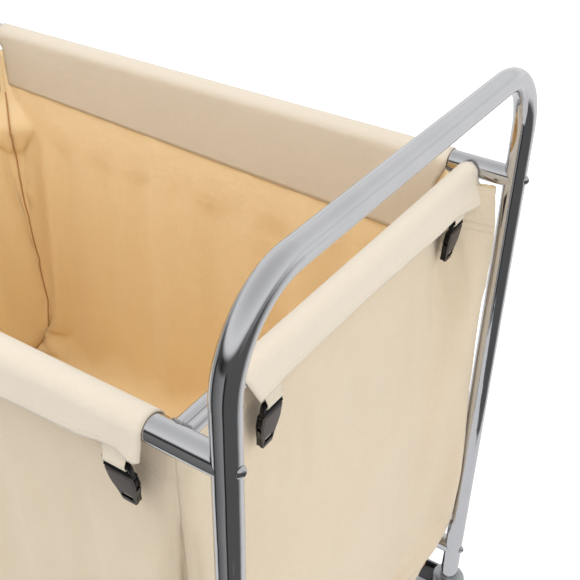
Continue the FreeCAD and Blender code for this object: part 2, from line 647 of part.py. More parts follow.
def tail_webbing():
    """A tongue of webbing threaded through the body's slot."""
    slot_low = -BUCKLE_LENGTH + TAIL_SLOT / 2
    width = BUCKLE_TIP_W - 2 * BUCKLE_WALL - 2 * CLOTH_GAP
    back = -BUCKLE_BODY_T / 2 - CLOTH_GAP
    through_low = V(back, -width / 2, slot_low + TAB_T)
    through = Part.makeBox(BUCKLE_BODY_T + 2 * CLOTH_GAP, width, TAB_T, through_low)
    drop_z = -BUCKLE_LENGTH - TAIL_DROP
    drop = Part.makeBox(TAB_T, width, slot_low + 2 * TAB_T - drop_z, V(back - TAB_T, -width / 2, drop_z))
    return through.fuse(drop).removeSplitter()


def clip_tab(tilt):
    """The cloth tab: upright behind the flap, then looped round the clip's bar."""
    inner = centred_box(BUCKLE_CLIP_T + 2 * CLOTH_GAP, TAB_W, -CLIP_BAR - CLOTH_GAP, CLOTH_GAP)
    low = -CLIP_BAR - CLOTH_GAP - TAB_T
    outer = centred_box(BUCKLE_CLIP_T + 2 * CLOTH_GAP + 2 * TAB_T, TAB_W, low, CLOTH_GAP + TAB_T)
    loop = outer.cut(inner)
    loop.rotate(V(0, 0, 0), AXIS_Y, tilt)
    strap = centred_box(TAB_T, TAB_W, CLOTH_GAP + TAB_T / 2, BUCKLE_DROP + TAB_UP)
    return loop.fuse(strap).removeSplitter()


def buckle_places():
    """Name, outward turn, tilt and hanging point of each buckle."""
    hem_z = TOP_RAIL_Z - FLAP_DROP - BUCKLE_DROP
    places = []
    strap_line = CLOTH_GAP + TAB_T / 2
    for side_name, side in RIGHT_LEFT:
        for face_name, face in FRONT_BACK:
            y = END_BUCKLE_SHIFT + face * END_BUCKLE_PITCH / 2
            x = CROSSBAR_X + CROSSBAR_R + CLOTH_GAP - strap_line
            turn = 0 if side > 0 else 180
            name = side_name + "_end_" + face_name
            places.append((name, turn, BUCKLE_TILT_END, V(side * x, y, hem_z)))
    for face_name, face in FRONT_BACK:
        for spot_name, spot in (("left", -1), ("middle", 0), ("right", 1)):
            y = LEG_Y + TUBE_R + CLOTH_GAP - strap_line
            name = face_name + "_side_" + spot_name
            point = V(spot * LONG_BUCKLE_PITCH, face * y, hem_z)
            places.append((name, 90 * face, BUCKLE_TILT_LONG, point))
    return places


def hang(shape, turn, tilt, point):
    """A buckle piece tilted towards the bag, turned outward and moved to its place."""
    tilted = shape.copy()
    tilted.rotate(V(0, 0, 0), AXIS_Y, tilt)
    return around(tilted, turn, point)


def build_buckles():
    """Ten side-release buckles; each pull-off half is a node of its own."""
    clips = []
    tabs = []
    for name, turn, tilt, point in buckle_places():
        clips.append(hang(buckle_clip(), turn, tilt, point))
        tabs.append(hang(clip_tab(tilt), turn, 0, point))
        body = hang(buckle_body(), turn, tilt, point)
        tail = hang(tail_webbing(), turn, tilt, point)
        save("buckle_" + name, body, tail)
    save("buckle_clips", *clips)
    save("flap_tabs", *tabs)


build_frame()
build_casters()
build_bag_walls()
build_flaps()
build_buckles()
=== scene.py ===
# %% [markdown]
# # The looks of a linen trolley
# A linen trolley is a frame of bent and welded chromed tube on four swivel casters. A canvas bag
# hangs inside it: its rim folds over the top rails as flaps, and the flaps carry side-release
# buckles. The measured model gives every tube, wheel and buckle its place. This file adds what the
# eye sees: cloth that sags, hems and stitches, weld beads, moulded plastic and polished metal.

# %% Load the measured frame
import json
import math
import bmesh
import bpy
import numpy as np
from mathutils import Matrix, Vector, noise


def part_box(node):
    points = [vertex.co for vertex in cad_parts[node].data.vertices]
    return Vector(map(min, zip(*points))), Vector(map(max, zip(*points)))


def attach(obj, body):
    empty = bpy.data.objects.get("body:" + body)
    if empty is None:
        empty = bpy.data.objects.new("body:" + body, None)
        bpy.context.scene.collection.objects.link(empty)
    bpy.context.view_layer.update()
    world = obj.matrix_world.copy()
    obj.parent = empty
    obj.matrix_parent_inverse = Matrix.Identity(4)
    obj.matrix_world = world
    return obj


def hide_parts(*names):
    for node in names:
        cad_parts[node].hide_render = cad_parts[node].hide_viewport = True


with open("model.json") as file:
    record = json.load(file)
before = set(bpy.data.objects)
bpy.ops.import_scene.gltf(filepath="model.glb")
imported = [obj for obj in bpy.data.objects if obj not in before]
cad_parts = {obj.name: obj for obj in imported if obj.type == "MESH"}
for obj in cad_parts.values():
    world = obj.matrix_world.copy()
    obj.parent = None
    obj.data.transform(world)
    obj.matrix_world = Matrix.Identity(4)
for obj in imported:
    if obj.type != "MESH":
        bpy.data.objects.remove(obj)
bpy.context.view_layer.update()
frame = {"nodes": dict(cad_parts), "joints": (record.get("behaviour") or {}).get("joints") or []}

NODES = frame["nodes"]


# %% [markdown]
# ## Shader arithmetic
# A finish is a small network of nodes. Written node by node it is hard to read, so a socket is
# wrapped in a class that knows how to add, multiply and so on: each operator adds one Math node. Any
# other node comes from one method that takes the node's type, its settings and its inputs.

# %% A socket that can be used in sums
class Wire:
    """One output of a node; arithmetic on it adds Math nodes."""

    def __init__(self, finish, socket):
        self.finish = finish
        self.socket = socket

    def maths(self, operation, *values):
        return self.finish.node("ShaderNodeMath", {"operation": operation}, values)

    def other(self, name):
        """Another output of the same node."""
        return Wire(self.finish, self.socket.node.outputs[name])

    def __add__(self, other):
        return self.maths("ADD", self, other)

    def __sub__(self, other):
        return self.maths("SUBTRACT", self, other)

    def __rsub__(self, other):
        return self.maths("SUBTRACT", other, self)

    def __mul__(self, other):
        return self.maths("MULTIPLY", self, other)

    def __truediv__(self, other):
        return self.maths("DIVIDE", self, other)

    def __pow__(self, other):
        return self.maths("POWER", self, other)

    __radd__ = __add__
    __rmul__ = __mul__


def linear(red, green, blue):
    """A colour as seen on a screen, from 0 to 255, in the linear light that shaders work in."""
    channels = [((c / 255 + 0.055) / 1.055) ** 2.4 if c > 10 else c / 3295 for c in (red, green, blue)]
    return (*channels, 1.0)


# %% A finish under construction
class Finish:
    """A material, with one method that adds any node to it."""

    def __init__(self, name, **constants):
        self.material = bpy.data.materials.new(name)
        self.material.use_nodes = True
        self.tree = self.material.node_tree
        self.shader = self.tree.nodes["Principled BSDF"]
        for socket, value in constants.items():
            self.shader.inputs[socket.replace("_", " ")].default_value = value

    def node(self, kind, settings, inputs, output=0):
        """Add a node: its settings first, then its inputs by name or place."""
        added = self.tree.nodes.new(kind)
        for key, value in settings.items():
            if key == "stops":
                self.set_stops(added.color_ramp, value)
            else:
                setattr(added, key, value)
        pairs = inputs.items() if isinstance(inputs, dict) else enumerate(inputs)
        for key, value in pairs:
            self.feed(added.inputs[key], value)
        return Wire(self, added.outputs[output])

    def set_stops(self, ramp, stops):
        """Put the stops of a colour ramp in place."""
        while len(ramp.elements) < len(stops):
            ramp.elements.new(1.0)
        for element, (position, colour) in zip(ramp.elements, stops):
            element.position = position
            element.color = colour

    def feed(self, socket, value):
        """Link a socket, or set it when the value is a plain one."""
        if isinstance(value, Wire):
            self.tree.links.new(value.socket, socket)
        else:
            socket.default_value = value

    def colour_mix(self, factor, low, high):
        """A colour between two, by a factor that varies."""
        settings = {"data_type": "RGBA"}
        return self.node("ShaderNodeMix", settings, {0: factor, 6: low, 7: high}, 2)

    def place(self, scale=1.0, uv=False):
        """Coordinates fixed to the piece: its own space, or its own UV map in metres."""
        source = self.node("ShaderNodeTexCoord", {}, {}, "UV" if uv else "Object")
        return self.node("ShaderNodeMapping", {}, {"Vector": source, "Scale": (scale, scale, scale)})

    def cloudy(self, place, size, detail=2.0, roughness=0.5):
        """Soft noise whose blotches are about that many metres across."""
        inputs = {"Vector": place, "Scale": 1.0 / size, "Detail": detail, "Roughness": roughness}
        return self.node("ShaderNodeTexNoise", {}, inputs)

    def bump(self, height, depth, normal=None):
        """Relief of a given depth in metres."""
        inputs = {"Height": height, "Distance": depth, "Strength": 1.0}
        if normal is not None:
            inputs["Normal"] = normal
        return self.node("ShaderNodeBump", {}, inputs)

    def finish(self, **sockets):
        """Feed the shader's own sockets and return the material."""
        for name, value in sockets.items():
            self.feed(self.shader.inputs[name.replace("_", " ")], value)
        return self.material


# %% [markdown]
# ## Metal finishes
# The tube is bright chrome plate. Plate is never quite even: it carries faint polishing waves, a
# little haze and tiny scuffs, which only show where something sharp is reflected. Those go into
# roughness and a very shallow bump, while the colour stays an almost neutral grey.

# %% Chrome plate, zinc plate and weld steel
def chrome_plate():
    finish = Finish("chrome_plate", Metallic=1.0)
    place = finish.place()
    haze = finish.cloudy(place, 0.05, 3.0)
    scuffs = finish.cloudy(place, 0.004, 4.0, 0.7)
    tint = finish.colour_mix(haze, linear(196, 197, 200), linear(208, 208, 210))
    waves = finish.cloudy(place, 0.03, 1.0)
    return finish.finish(
        Base_Color=tint,
        Roughness=0.05 + haze * 0.06 + (scuffs ** 3.0) * 0.12,
        Normal=finish.bump(waves, 0.0004),
    )


def plated_steel(name, dark, light, roughness):
    """Zinc-plated steel: pale, slightly mottled and satin."""
    finish = Finish(name, Metallic=1.0)
    place = finish.place()
    mottle = finish.cloudy(place, 0.006, 4.0, 0.6)
    grain = finish.cloudy(place, 0.0009, 2.0)
    return finish.finish(
        Base_Color=finish.colour_mix(mottle, dark, light),
        Roughness=roughness + mottle * 0.16,
        Normal=finish.bump(grain, 0.00004),
    )


CHROME = chrome_plate()
BRIGHT_STEEL = plated_steel("bright_steel", linear(168, 168, 170), linear(206, 206, 208), 0.14)
CASTER_ZINC = plated_steel("caster_zinc", linear(150, 152, 156), linear(190, 192, 194), 0.3)
WELD_STEEL = plated_steel("weld_steel", linear(140, 138, 140), linear(186, 184, 186), 0.22)
print("metals", [metal.name for metal in (CHROME, BRIGHT_STEEL, CASTER_ZINC, WELD_STEEL)])


# %% [markdown]
# ## Rubber and plastics
# Moulded plastic shows its mould: a fine grain, a soft sheen on edges that hands have rubbed, and
# colour that isn't perfectly even. Tyre rubber is duller and picks up dust on the tread.

# %% Moulded and rubber finishes
def moulded(name, dark, light, roughness, grain_size=0.0006, grain_depth=0.00003, shine=0.5):
    """Grained plastic, glossier in blotches where it is handled."""
    finish = Finish(name, Specular_IOR_Level=shine)
    place = finish.place()
    blotch = finish.cloudy(place, 0.012, 3.0)
    grain = finish.cloudy(place, grain_size, 2.0)
    return finish.finish(
        Base_Color=finish.colour_mix(blotch, dark, light),
        Roughness=roughness + blotch * 0.14 + grain * 0.08,
        Normal=finish.bump(grain, grain_depth),
    )


BLACK_PLASTIC = moulded("black_plastic", linear(9, 9, 10), linear(17, 16, 17), 0.16, shine=0.16)
SATIN_PLASTIC = moulded("satin_black_plastic", linear(62, 56, 53), linear(80, 72, 68), 0.42)
GREY_PLASTIC = moulded("grey_plastic", linear(176, 177, 180), linear(196, 197, 199), 0.32)
PEDAL_PLASTIC = moulded("pedal_plastic", linear(42, 42, 43), linear(56, 55, 56), 0.5)
CORE_PLASTIC = moulded("wheel_core_plastic", linear(152, 154, 156), linear(170, 171, 172), 0.45)
TREAD_RUBBER = moulded("tread_rubber", linear(62, 63, 66), linear(84, 84, 86), 0.55, 0.0011, 0.0001)
print("black plastic has", len(BLACK_PLASTIC.node_tree.nodes), "nodes")


# %% [markdown]
# ## Canvas
# The bag is plain-woven canvas. The weave is finer than a millimetre, so it is drawn as two sets of
# ridges that cross: warp along one UV direction, weft along the other. Slubs, faint creases and the
# unevenness of undyed cloth are noise at three larger sizes. The inside of the bag is given a paler,
# warmer colour than the outside: painted light, for the light that reaches it through the cloth and
# off it many times. The doubled band inside the flaps is given a deeper orange: painted light as well,
# dimmer because less of it comes through two layers.

# %% Woven cloth
THREAD = 0.0011               # distance between neighbouring threads


def woven(name, shade, light, thread=THREAD, relief=0.00012, warmth=0.35):
    """Plain weave on the piece's UV map, which is in metres."""
    finish = Finish(name, Sheen_Weight=0.25, Sheen_Roughness=0.5)
    place = finish.place(uv=True)
    split = finish.node("ShaderNodeSeparateXYZ", {}, [place], "X")
    across = split.other("Y")
    turn = 2 * math.pi / thread
    warp = split.maths("SINE", split * turn)
    weft = split.maths("SINE", across * turn)
    weave = warp * weft
    slub = finish.cloudy(place, 0.004, 3.0)
    cloud = finish.cloudy(place, 0.09, 2.0)
    crease = finish.cloudy(place, 0.028, 4.0, 0.6)
    tone = cloud * warmth + slub * 0.3 + crease * 0.2 + weave * 0.03
    relief_normal = finish.bump(weave * 0.5 + slub, relief)
    return finish.finish(
        Base_Color=finish.colour_mix(tone, shade, light),
        Roughness=0.78 + slub * 0.14,
        Normal=finish.bump(crease, 0.0016, relief_normal),
    )


CANVAS = woven("canvas_outside", linear(203, 185, 158), linear(218, 203, 179))
# The same canvas as outside, paler and warmer: painted light for the light that comes through the cloth into
# the bag.
CANVAS_INSIDE_PAINTED_LIGHT = woven("canvas_inside_painted_light", linear(246, 218, 168), linear(252, 231, 190))
# The same canvas again, deeper orange: painted light, dimmed by the two layers of the doubled band.
BAND_PAINTED_LIGHT = woven("canvas_band_painted_light", linear(228, 184, 134), linear(240, 200, 152))
HEM = woven("canvas_hem", linear(211, 199, 180), linear(222, 211, 193))
# Darker brown than the canvas the seams are rolled from: painted shade of the crease along each seam.
SEAM_CLOTH_PAINTED_SHADE = woven("seam_cloth", linear(182, 138, 86), linear(200, 156, 104))
WEBBING = woven("tab_webbing", linear(206, 194, 172), linear(222, 212, 193), 0.0016, 0.0003, 0.2)
THREAD_FINISH = woven("sewing_thread", linear(208, 190, 162), linear(220, 206, 182), 0.0006, 0.0001, 0.2)
print("threads in ten centimetres of canvas", round(0.1 / THREAD))


# %% [markdown]
# ## Small tools for meshes
# Each piece is a mesh whose place is in its vertices and whose object sits at the origin. Three
# helpers do that for every piece: one makes a mesh from points and faces, one turns an object with
# modifiers into a plain mesh, and one hands the finished piece to its body.

# %% Mesh helpers
def linked(name, data):
    """A new object at the origin, in the scene."""
    piece = bpy.data.objects.new(name, data)
    bpy.context.scene.collection.objects.link(piece)
    return piece


def grid_faces(rows, across, closed=False):
    """Four-sided faces between neighbouring rows of points; a closed row also joins its two ends."""
    wide = across if closed else across + 1
    faces = []
    for row in range(rows):
        for step in range(across):
            low = row * wide
            after = (step + 1) % wide
            faces.append((low + step, low + after, low + wide + after, low + wide + step))
    return faces


def mesh_piece(name, points, faces, uvs=None, smooth=True):
    """A new object from points and faces; uvs has one pair for each point."""
    mesh = bpy.data.meshes.new(name)
    mesh.from_pydata([tuple(p) for p in points], [], faces)
    if uvs is not None:
        layer = mesh.uv_layers.new(name="UVMap")
        for loop in mesh.loops:
            layer.data[loop.index].uv = uvs[loop.vertex_index]
    mesh.polygons.foreach_set("use_smooth", [smooth] * len(mesh.polygons))
    return linked(name, mesh)


def baked(piece, name=None):
    """The piece with its modifiers worked out, as one plain mesh in place of the old one."""
    graph = bpy.context.evaluated_depsgraph_get()
    mesh = bpy.data.meshes.new_from_object(piece.evaluated_get(graph), depsgraph=graph)
    mesh.transform(piece.matrix_world)
    final_name = name or piece.name
    result = linked(final_name, mesh)
    bpy.data.objects.remove(piece)
    result.name = final_name
    mesh.name = final_name
    return result


def hand_over(piece, body, slot, *replaced):
    """Give a finished piece to its body and hide the measured parts it stands for."""
    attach(piece, body)
    if replaced:
        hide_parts(*replaced)


def smooth_step(low, high, value):
    """0 below low, 1 above high, and a smooth rise between."""
    t = min(max((value - low) / (high - low), 0.0), 1.0)
    return t * t * (3 - 2 * t)


def ripple(x, y, z=0.0):
    """Smooth noise from -1 to 1 that is the same on every run."""
    return noise.noise(Vector((x, y, z)))


# %% [markdown]
# ## Sizes read from the frame
# Nothing is placed by eye. The rails, crossbars, flaps and bag walls say where they are, and the
# shapes below start from those numbers.

# %% Sizes
MM = 0.001


def middle(node):
    """The middle of a node's box."""
    return [(low + high) / 2 for low, high in zip(*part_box(node))]


def tube_radius(node):
    """The radius of a level tube, from the height of its box."""
    low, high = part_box(node)
    return (high.z - low.z) / 2


RAIL_Z = middle("front_top_rail")[2]
RAIL_R = tube_radius("front_top_rail")
RAIL_Y = middle("back_top_rail")[1]
BAR_R = tube_radius("right_top_crossbar")
BAR_X = middle("right_top_crossbar")[0]
HEM_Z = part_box("bag_front_flap")[0].z
FLOOR_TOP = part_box("bag_floor_panel")[1].z
CLOTH_T = 1.6 * MM            # wall cloth, a little under the room the frame keeps for it
print("rail height", round(RAIL_Z, 4), "rail radius", round(RAIL_R, 4), "hem", round(HEM_Z, 4))


def reach_by_height(node, axis):
    """How far a bag wall stands from the middle at each of its levels."""
    reach = {}
    for vertex in NODES[node].data.vertices:
        height = round(vertex.co.z, 3)
        reach[height] = max(reach.get(height, 0.0), abs(vertex.co[axis]))
    heights = sorted(reach)
    return np.array(heights), np.array([reach[h] for h in heights])


LONG_PROFILE = reach_by_height("bag_front_panel", 1)
END_PROFILE = reach_by_height("bag_right_panel", 0)
print("wall levels", len(LONG_PROFILE[0]), "foot", LONG_PROFILE[0][0], "rim", LONG_PROFILE[0][-1])


# %% [markdown]
# ## The bag
# The real bag is five panels of canvas sewn along the corners and round the floor. It hangs from the
# rim and stands on the base bars, with more cloth than it needs, so its walls belly out and fold.
# One way is to model the folds by hand; here the walls start as one smooth tube of cloth that follows
# the measured wall, cut a little too large, and a cloth simulation lets gravity and the air inside
# find the folds. The tube is then parted at the corners into its four panels.

# %% The bag's sides
CORNER_STEPS = 5              # faces in half a corner
CLOTH_SPACING = 0.0105        # about this far between cloth points
BOTTOM_FOLD_Z = 0.262         # below this fold the long walls slope in to the floor
BOTTOM_TUCK = 0.024           # how far in they go
SIDES = (
    ("front", Vector((1, 0)), Vector((1, -1))),
    ("right", Vector((0, 1)), Vector((1, 1))),
    ("back", Vector((-1, 0)), Vector((-1, 1))),
    ("left", Vector((0, -1)), Vector((-1, -1))),
)


# %% How each corner hangs
CORNER_HEIGHTS = (FLOOR_TOP, 0.26, 0.35, 0.50, 0.62, 0.66, 0.70, 0.75, RAIL_Z - 0.012)
# Each corner, named by the side it ends: how far its seam hangs inside the measured corner, the length
# cut off it, and how round it is, from the floor up. A loose corner hangs plumb from the rim.
CORNERS = {
    "front": {
        "inset": (0.006, 0.008, 0.008, 0.006, 0.002, 0.0, 0.0, 0.0, 0.0),
        "cut": (0.050, 0.036, 0.042, 0.032, 0.018, 0.016, 0.022, 0.014, 0.010),
        "round": (0.9, 0.9, 0.9, 0.9, 0.9, 0.8, 0.6, 0.8, 0.8),
        "reach": (0.12, 0.12, 0.12, 0.12, 0.12, 0.10, 0.08, 0.06, 0.05),
    },
    "right": {
        "inset": (0.002, -0.006, -0.011, -0.0042, -0.0385, -0.0500, -0.0532, -0.0530, -0.0450),
        "cut": (0.052, 0.036, 0.038, 0.014, 0.008, 0.006, 0.006, 0.006, 0.006),
        "round": (0.9, 0.9, 0.95, 0.95, 0.9, 0.9, 0.9, 0.9, 0.9),
        "reach": (0.10, 0.12, 0.12, 0.10, 0.05, 0.030, 0.022, 0.012, 0.004),
        "spread": (0.0, 0.0, 0.0, 0.0, 0.0, 0.0, 0.0, 0.002, 0.007),
    },
    "back": {
        "inset": (0.012, 0.044, 0.048, 0.034, 0.006, 0.0, 0.0, 0.0, 0.0),
        "cut": (0.034, 0.012, 0.010, 0.010, 0.020, 0.056, 0.018, 0.010, 0.008),
        "round": (0.6, 0.5, 0.5, 0.5, 0.5, 0.1, 0.05, 0.05, 0.05),
        "reach": (0.10, 0.13, 0.14, 0.14, 0.12, 0.10, 0.08, 0.08, 0.06),
    },
    "left": {
        "inset": (0.012, 0.026, 0.030, 0.022, 0.006, 0.0, 0.0, 0.0, 0.0),
        "cut": (0.040, 0.022, 0.024, 0.020, 0.014, 0.022, 0.030, 0.014, 0.010),
        "round": (0.8, 0.8, 0.8, 0.8, 0.7, 0.3, 0.1, 0.1, 0.1),
        "reach": (0.10, 0.13, 0.14, 0.14, 0.12, 0.10, 0.08, 0.08, 0.06),
    },
}


# %% The bag's outline at one height
END_ZONE = (0.12, 0.02)       # from the end walls: where a corner's pull begins, and where it is whole
SPREAD_ZONE = (0.028, 0.004)  # the same for the pull across the bag


def along_line(line, value):
    """Where a line of (value, reach) pairs is at a value."""
    return float(np.interp(value, [pair[0] for pair in line], [pair[1] for pair in line]))


def corner_value(corner, what, height):
    """One measure of a corner at a height."""
    return along_line(tuple(zip(CORNER_HEIGHTS, CORNERS[corner][what])), height)


def corner_point(corner, along, after, cut, roundness, t):
    """A point on a corner, from t = 0 where it begins to t = 1 where the next side begins."""
    angle = t * math.pi / 2
    arc_u = cut * (math.sin(angle) - 1)
    arc_v = cut * (1 - math.cos(angle))
    u = (t - 1) * cut * (1 - roundness) + arc_u * roundness
    v = t * cut * (1 - roundness) + arc_v * roundness
    return corner + along * u + after * v


def hung_in(point, half_x, half_y, height):
    """The point with the ends of the bag drawn in, or let out, towards each corner."""
    right = point.x > 0
    across = 0.0
    names = ("front", "right") if right else ("left", "back")
    moved = 0.0
    for name, from_corner in zip(names, (half_y + point.y, half_y - point.y)):
        inset = corner_value(name, "inset", height)
        reach = corner_value(name, "reach", height)
        share = smooth_step(half_x - END_ZONE[0], half_x - END_ZONE[1], abs(point.x))
        moved += inset * (1.0 - smooth_step(0.006, 0.006 + reach, from_corner)) * share
        if "spread" in CORNERS[name]:
            at_end = smooth_step(half_x - SPREAD_ZONE[0], half_x - SPREAD_ZONE[1], abs(point.x))
            at_corner = 1.0 - smooth_step(0.0, 0.03, from_corner)
            across += corner_value(name, "spread", height) * at_corner * at_end
    x = point.x - moved if right else point.x + moved
    return Vector((x, point.y + math.copysign(across, point.y)))


def outline(half_x, half_y, height, side_steps):
    """The points round the bag, counter-clockwise from the middle of the front left corner."""
    points = []
    for index, (side, along, corner_sign) in enumerate(SIDES):
        before = SIDES[index - 1]
        after = SIDES[(index + 1) % 4][1]
        start = Vector((before[2].x * half_x, before[2].y * half_y))
        end = Vector((corner_sign.x * half_x, corner_sign.y * half_y))
        cuts = [corner_value(name, "cut", height) for name in (before[0], side)]
        rounds = [corner_value(name, "round", height) for name in (before[0], side)]
        for step in range(CORNER_STEPS):
            t = 0.5 + 0.5 * step / CORNER_STEPS
            points.append(corner_point(start, before[1], along, cuts[0], rounds[0], t))
        first = start + along * cuts[0]
        last = end - along * cuts[1]
        for step in range(side_steps[index]):
            points.append(first.lerp(last, step / side_steps[index]))
        for step in range(CORNER_STEPS):
            t = 0.5 * step / CORNER_STEPS
            points.append(corner_point(end, along, after, cuts[1], rounds[1], t))
    return [hung_in(point, half_x, half_y, height) for point in points]


# %% The cloth before it settles
def smooth_profile(profile, height):
    """The measured wall's reach at a height, with its corners rounded off."""
    window = 0.03
    spread = np.linspace(-window, window, 9)
    heights = np.clip(height + spread, profile[0][0], profile[0][-1])
    return float(np.mean(np.interp(heights, profile[0], profile[1])))


SIDE_STEPS = [
    round((2 * (END_PROFILE[1][-1] if side in (0, 2) else LONG_PROFILE[1][-1]) - 0.1) / CLOTH_SPACING)
    for side in range(4)
]
RIM_Z = LONG_PROFILE[0][-1]
ROWS = round((RIM_Z - FLOOR_TOP) / CLOTH_SPACING)
# At each corner, where no flap holds it, the rim sinks this far, from and to these distances.
RIM_DIPS = {
    "front": (0.034, 0.012, 0.040), "right": (0.0135, 0.004, 0.030),
    "back": (0.020, 0.012, 0.040), "left": (0.034, 0.012, 0.040),
}


def rim_height(point, half_x, half_y, height):
    """The height of a point, lowered near the rim's corners."""
    names = ("left", "front") if point.y < 0 else ("back", "right")
    dip, near, far = RIM_DIPS[names[point.x > 0]]
    from_corner = max(half_x - abs(point.x), half_y - abs(point.y))
    at_corner = 1.0 - smooth_step(near, far, from_corner)
    near_rim = smooth_step(RIM_Z - 0.09, RIM_Z, height)
    return height - dip * at_corner * near_rim


def wall_cloth():
    """Points, faces and UVs of the wall cloth, row by row from the floor to the rim."""
    points = []
    uvs = []
    for row in range(ROWS + 1):
        height = FLOOR_TOP + (RIM_Z - FLOOR_TOP) * row / ROWS
        half_x = smooth_profile(END_PROFILE, height) - CLOTH_T / 2
        half_y = smooth_profile(LONG_PROFILE, height) - CLOTH_T / 2
        half_y -= BOTTOM_TUCK * max(0.0, (BOTTOM_FOLD_Z - height) / (BOTTOM_FOLD_Z - FLOOR_TOP))
        ring = outline(half_x, half_y, height, SIDE_STEPS)
        travelled = 0.0
        for index, point in enumerate(ring):
            if index:
                travelled += (point - ring[index - 1]).length
            points.append((point.x, point.y, rim_height(point, half_x, half_y, height)))
            uvs.append((travelled, height))
    return points, grid_faces(ROWS, len(ring), closed=True), uvs, len(ring)


WALL_POINTS, WALL_FACES, WALL_UVS, RING = wall_cloth()
print("wall cloth points", len(WALL_POINTS), "round", RING, "rows", ROWS)


# %% Let the cloth settle
SLACK = 0.022                 # spare cloth, as a share of its size
SETTLE_FRAMES = 26
HELD_TOP = 3                  # rows of points held at the rim, under the flaps
PUSH = 0.35                   # pressure of the air inside
MOST_INWARD = 0.018           # how far the cloth may go in
MOST_OUTWARD = 0.009          # and out, below the buckles
END_SHARE = 0.68              # evens out the long and short sides when outward is worked out


def settle(piece, held):
    """Hang the cloth from its held points and return where its points come to rest."""
    group = piece.vertex_groups.new(name="held")
    group.add(held, 1.0, "REPLACE")
    cloth = piece.modifiers.new("cloth", "CLOTH")
    settings = cloth.settings
    settings.quality = 7
    settings.mass = 0.25
    settings.tension_stiffness = 25
    settings.compression_stiffness = 25
    settings.shear_stiffness = 12
    settings.bending_stiffness = 0.8
    settings.tension_damping = 12
    settings.compression_damping = 12
    settings.vertex_group_mass = "held"
    settings.shrink_min = -SLACK
    settings.shrink_max = -SLACK
    settings.use_pressure = True
    settings.uniform_pressure_force = PUSH
    cloth.collision_settings.use_collision = False
    cloth.point_cache.frame_start = 1
    cloth.point_cache.frame_end = SETTLE_FRAMES
    scene = bpy.context.scene
    for number in range(1, SETTLE_FRAMES + 1):
        scene.frame_set(number)
    graph = bpy.context.evaluated_depsgraph_get()
    mesh = piece.evaluated_get(graph).data
    settled = np.array([v.co for v in mesh.vertices])
    piece.modifiers.remove(cloth)
    piece.vertex_groups.remove(group)
    scene.frame_set(1)
    return settled


# %% Keep the cloth off its neighbours
def room_to_move(height):
    """How far the cloth may go outward at a height, so that it stays off the buckles and the base."""
    under_buckles = 1.0 - smooth_step(0.59, 0.65, height)
    off_base = smooth_step(FLOOR_TOP, FLOOR_TOP + 0.03, height)
    return MOST_OUTWARD * under_buckles * off_base


LEG_AXIS = (0.4375, 0.271)
LEG_ROOM = 0.0125 + 0.0018 + CLOTH_T / 2  # the leg's radius, a gap, and half of the cloth
PULLED_LEVEL = (0.650, 0.668, 0.705, 0.725)  # heights that the tails pass when they are pulled
PULLED_LIMIT = 0.2588         # how far out the long walls' cloth may stand there
PULLED_END = (0.362, 0.395)   # past the last buckles this fades


def kept_clear(points):
    """Move the cloth off the legs, and off the tails of the buckles when these are pulled."""
    for corner in ((1, 1), (1, -1), (-1, 1), (-1, -1)):
        away = points[:, :2] - np.array(LEG_AXIS) * corner
        distance = np.linalg.norm(away, axis=1)
        close = distance < LEG_ROOM
        points[close, :2] += away[close] * (LEG_ROOM / distance[close] - 1.0)[:, None]
    low, full, still_full, high = PULLED_LEVEL
    for point in points:
        share = smooth_step(low, full, point[2]) * (1.0 - smooth_step(still_full, high, point[2]))
        share *= 1.0 - smooth_step(*PULLED_END, abs(point[0]))
        over = max(0.0, abs(point[1]) - PULLED_LIMIT)
        point[1] -= math.copysign(over * share, point[1])
    return points


def settled_walls():
    """The wall cloth after settling, with its travel limited."""
    start = np.array(WALL_POINTS)
    cloth = mesh_piece("wall_cloth", WALL_POINTS, WALL_FACES)
    rows = list(range(RING)) + list(range((ROWS + 1 - HELD_TOP) * RING, (ROWS + 1) * RING))
    moved = settle(cloth, rows) - start
    bpy.data.objects.remove(cloth)
    outward = start.copy()
    outward[:, 2] = 0
    outward[:, 0] *= END_SHARE
    outward /= np.linalg.norm(outward, axis=1)[:, None]
    for index, height in enumerate(start[:, 2]):
        out = float(moved[index] @ outward[index])
        wanted = min(max(out, -MOST_INWARD), room_to_move(height))
        moved[index] += outward[index] * (wanted - out)
    print("cloth moved up to", round(float(np.abs(moved).max()), 4))
    return kept_clear(start + moved)


# %% Part the walls at the corners
def panel_columns():
    """First point and number of faces of each wall in a ring."""
    columns = []
    first = 0
    for steps in SIDE_STEPS:
        faces = steps + 2 * CORNER_STEPS
        columns.append((first, faces))
        first += faces
    return columns


def thick_cloth(piece, thickness, outside, inside):
    """Give a cloth surface its thickness, with its own finish on each side."""
    piece.data.materials.append(outside)
    piece.data.materials.append(inside)
    solid = piece.modifiers.new("thickness", "SOLIDIFY")
    solid.thickness = thickness
    solid.offset = 0.0
    solid.use_even_offset = False
    solid.material_offset = 1
    solid.material_offset_rim = 0
    return baked(piece)


SEAM_STEP = 0.006             # between UV columns where the ring of cloth begins again


def cut_panel(name, settled, first, faces_round):
    """One wall panel from the settled cloth."""
    points = []
    uvs = []
    for row in range(ROWS + 1):
        for step in range(faces_round + 1):
            index = row * RING + (first + step) % RING
            points.append(settled[index])
            shift = WALL_UVS[row * RING + first][0]
            distance = WALL_UVS[index][0]
            if step and (first + step) >= RING:
                distance = uvs[-1][0] + shift + SEAM_STEP
            uvs.append((distance - shift, WALL_UVS[index][1]))
    piece = mesh_piece(name, points, grid_faces(ROWS, faces_round), uvs)
    # Inner face: the canvas colour with painted light.
    return thick_cloth(piece, CLOTH_T, CANVAS, CANVAS_INSIDE_PAINTED_LIGHT)


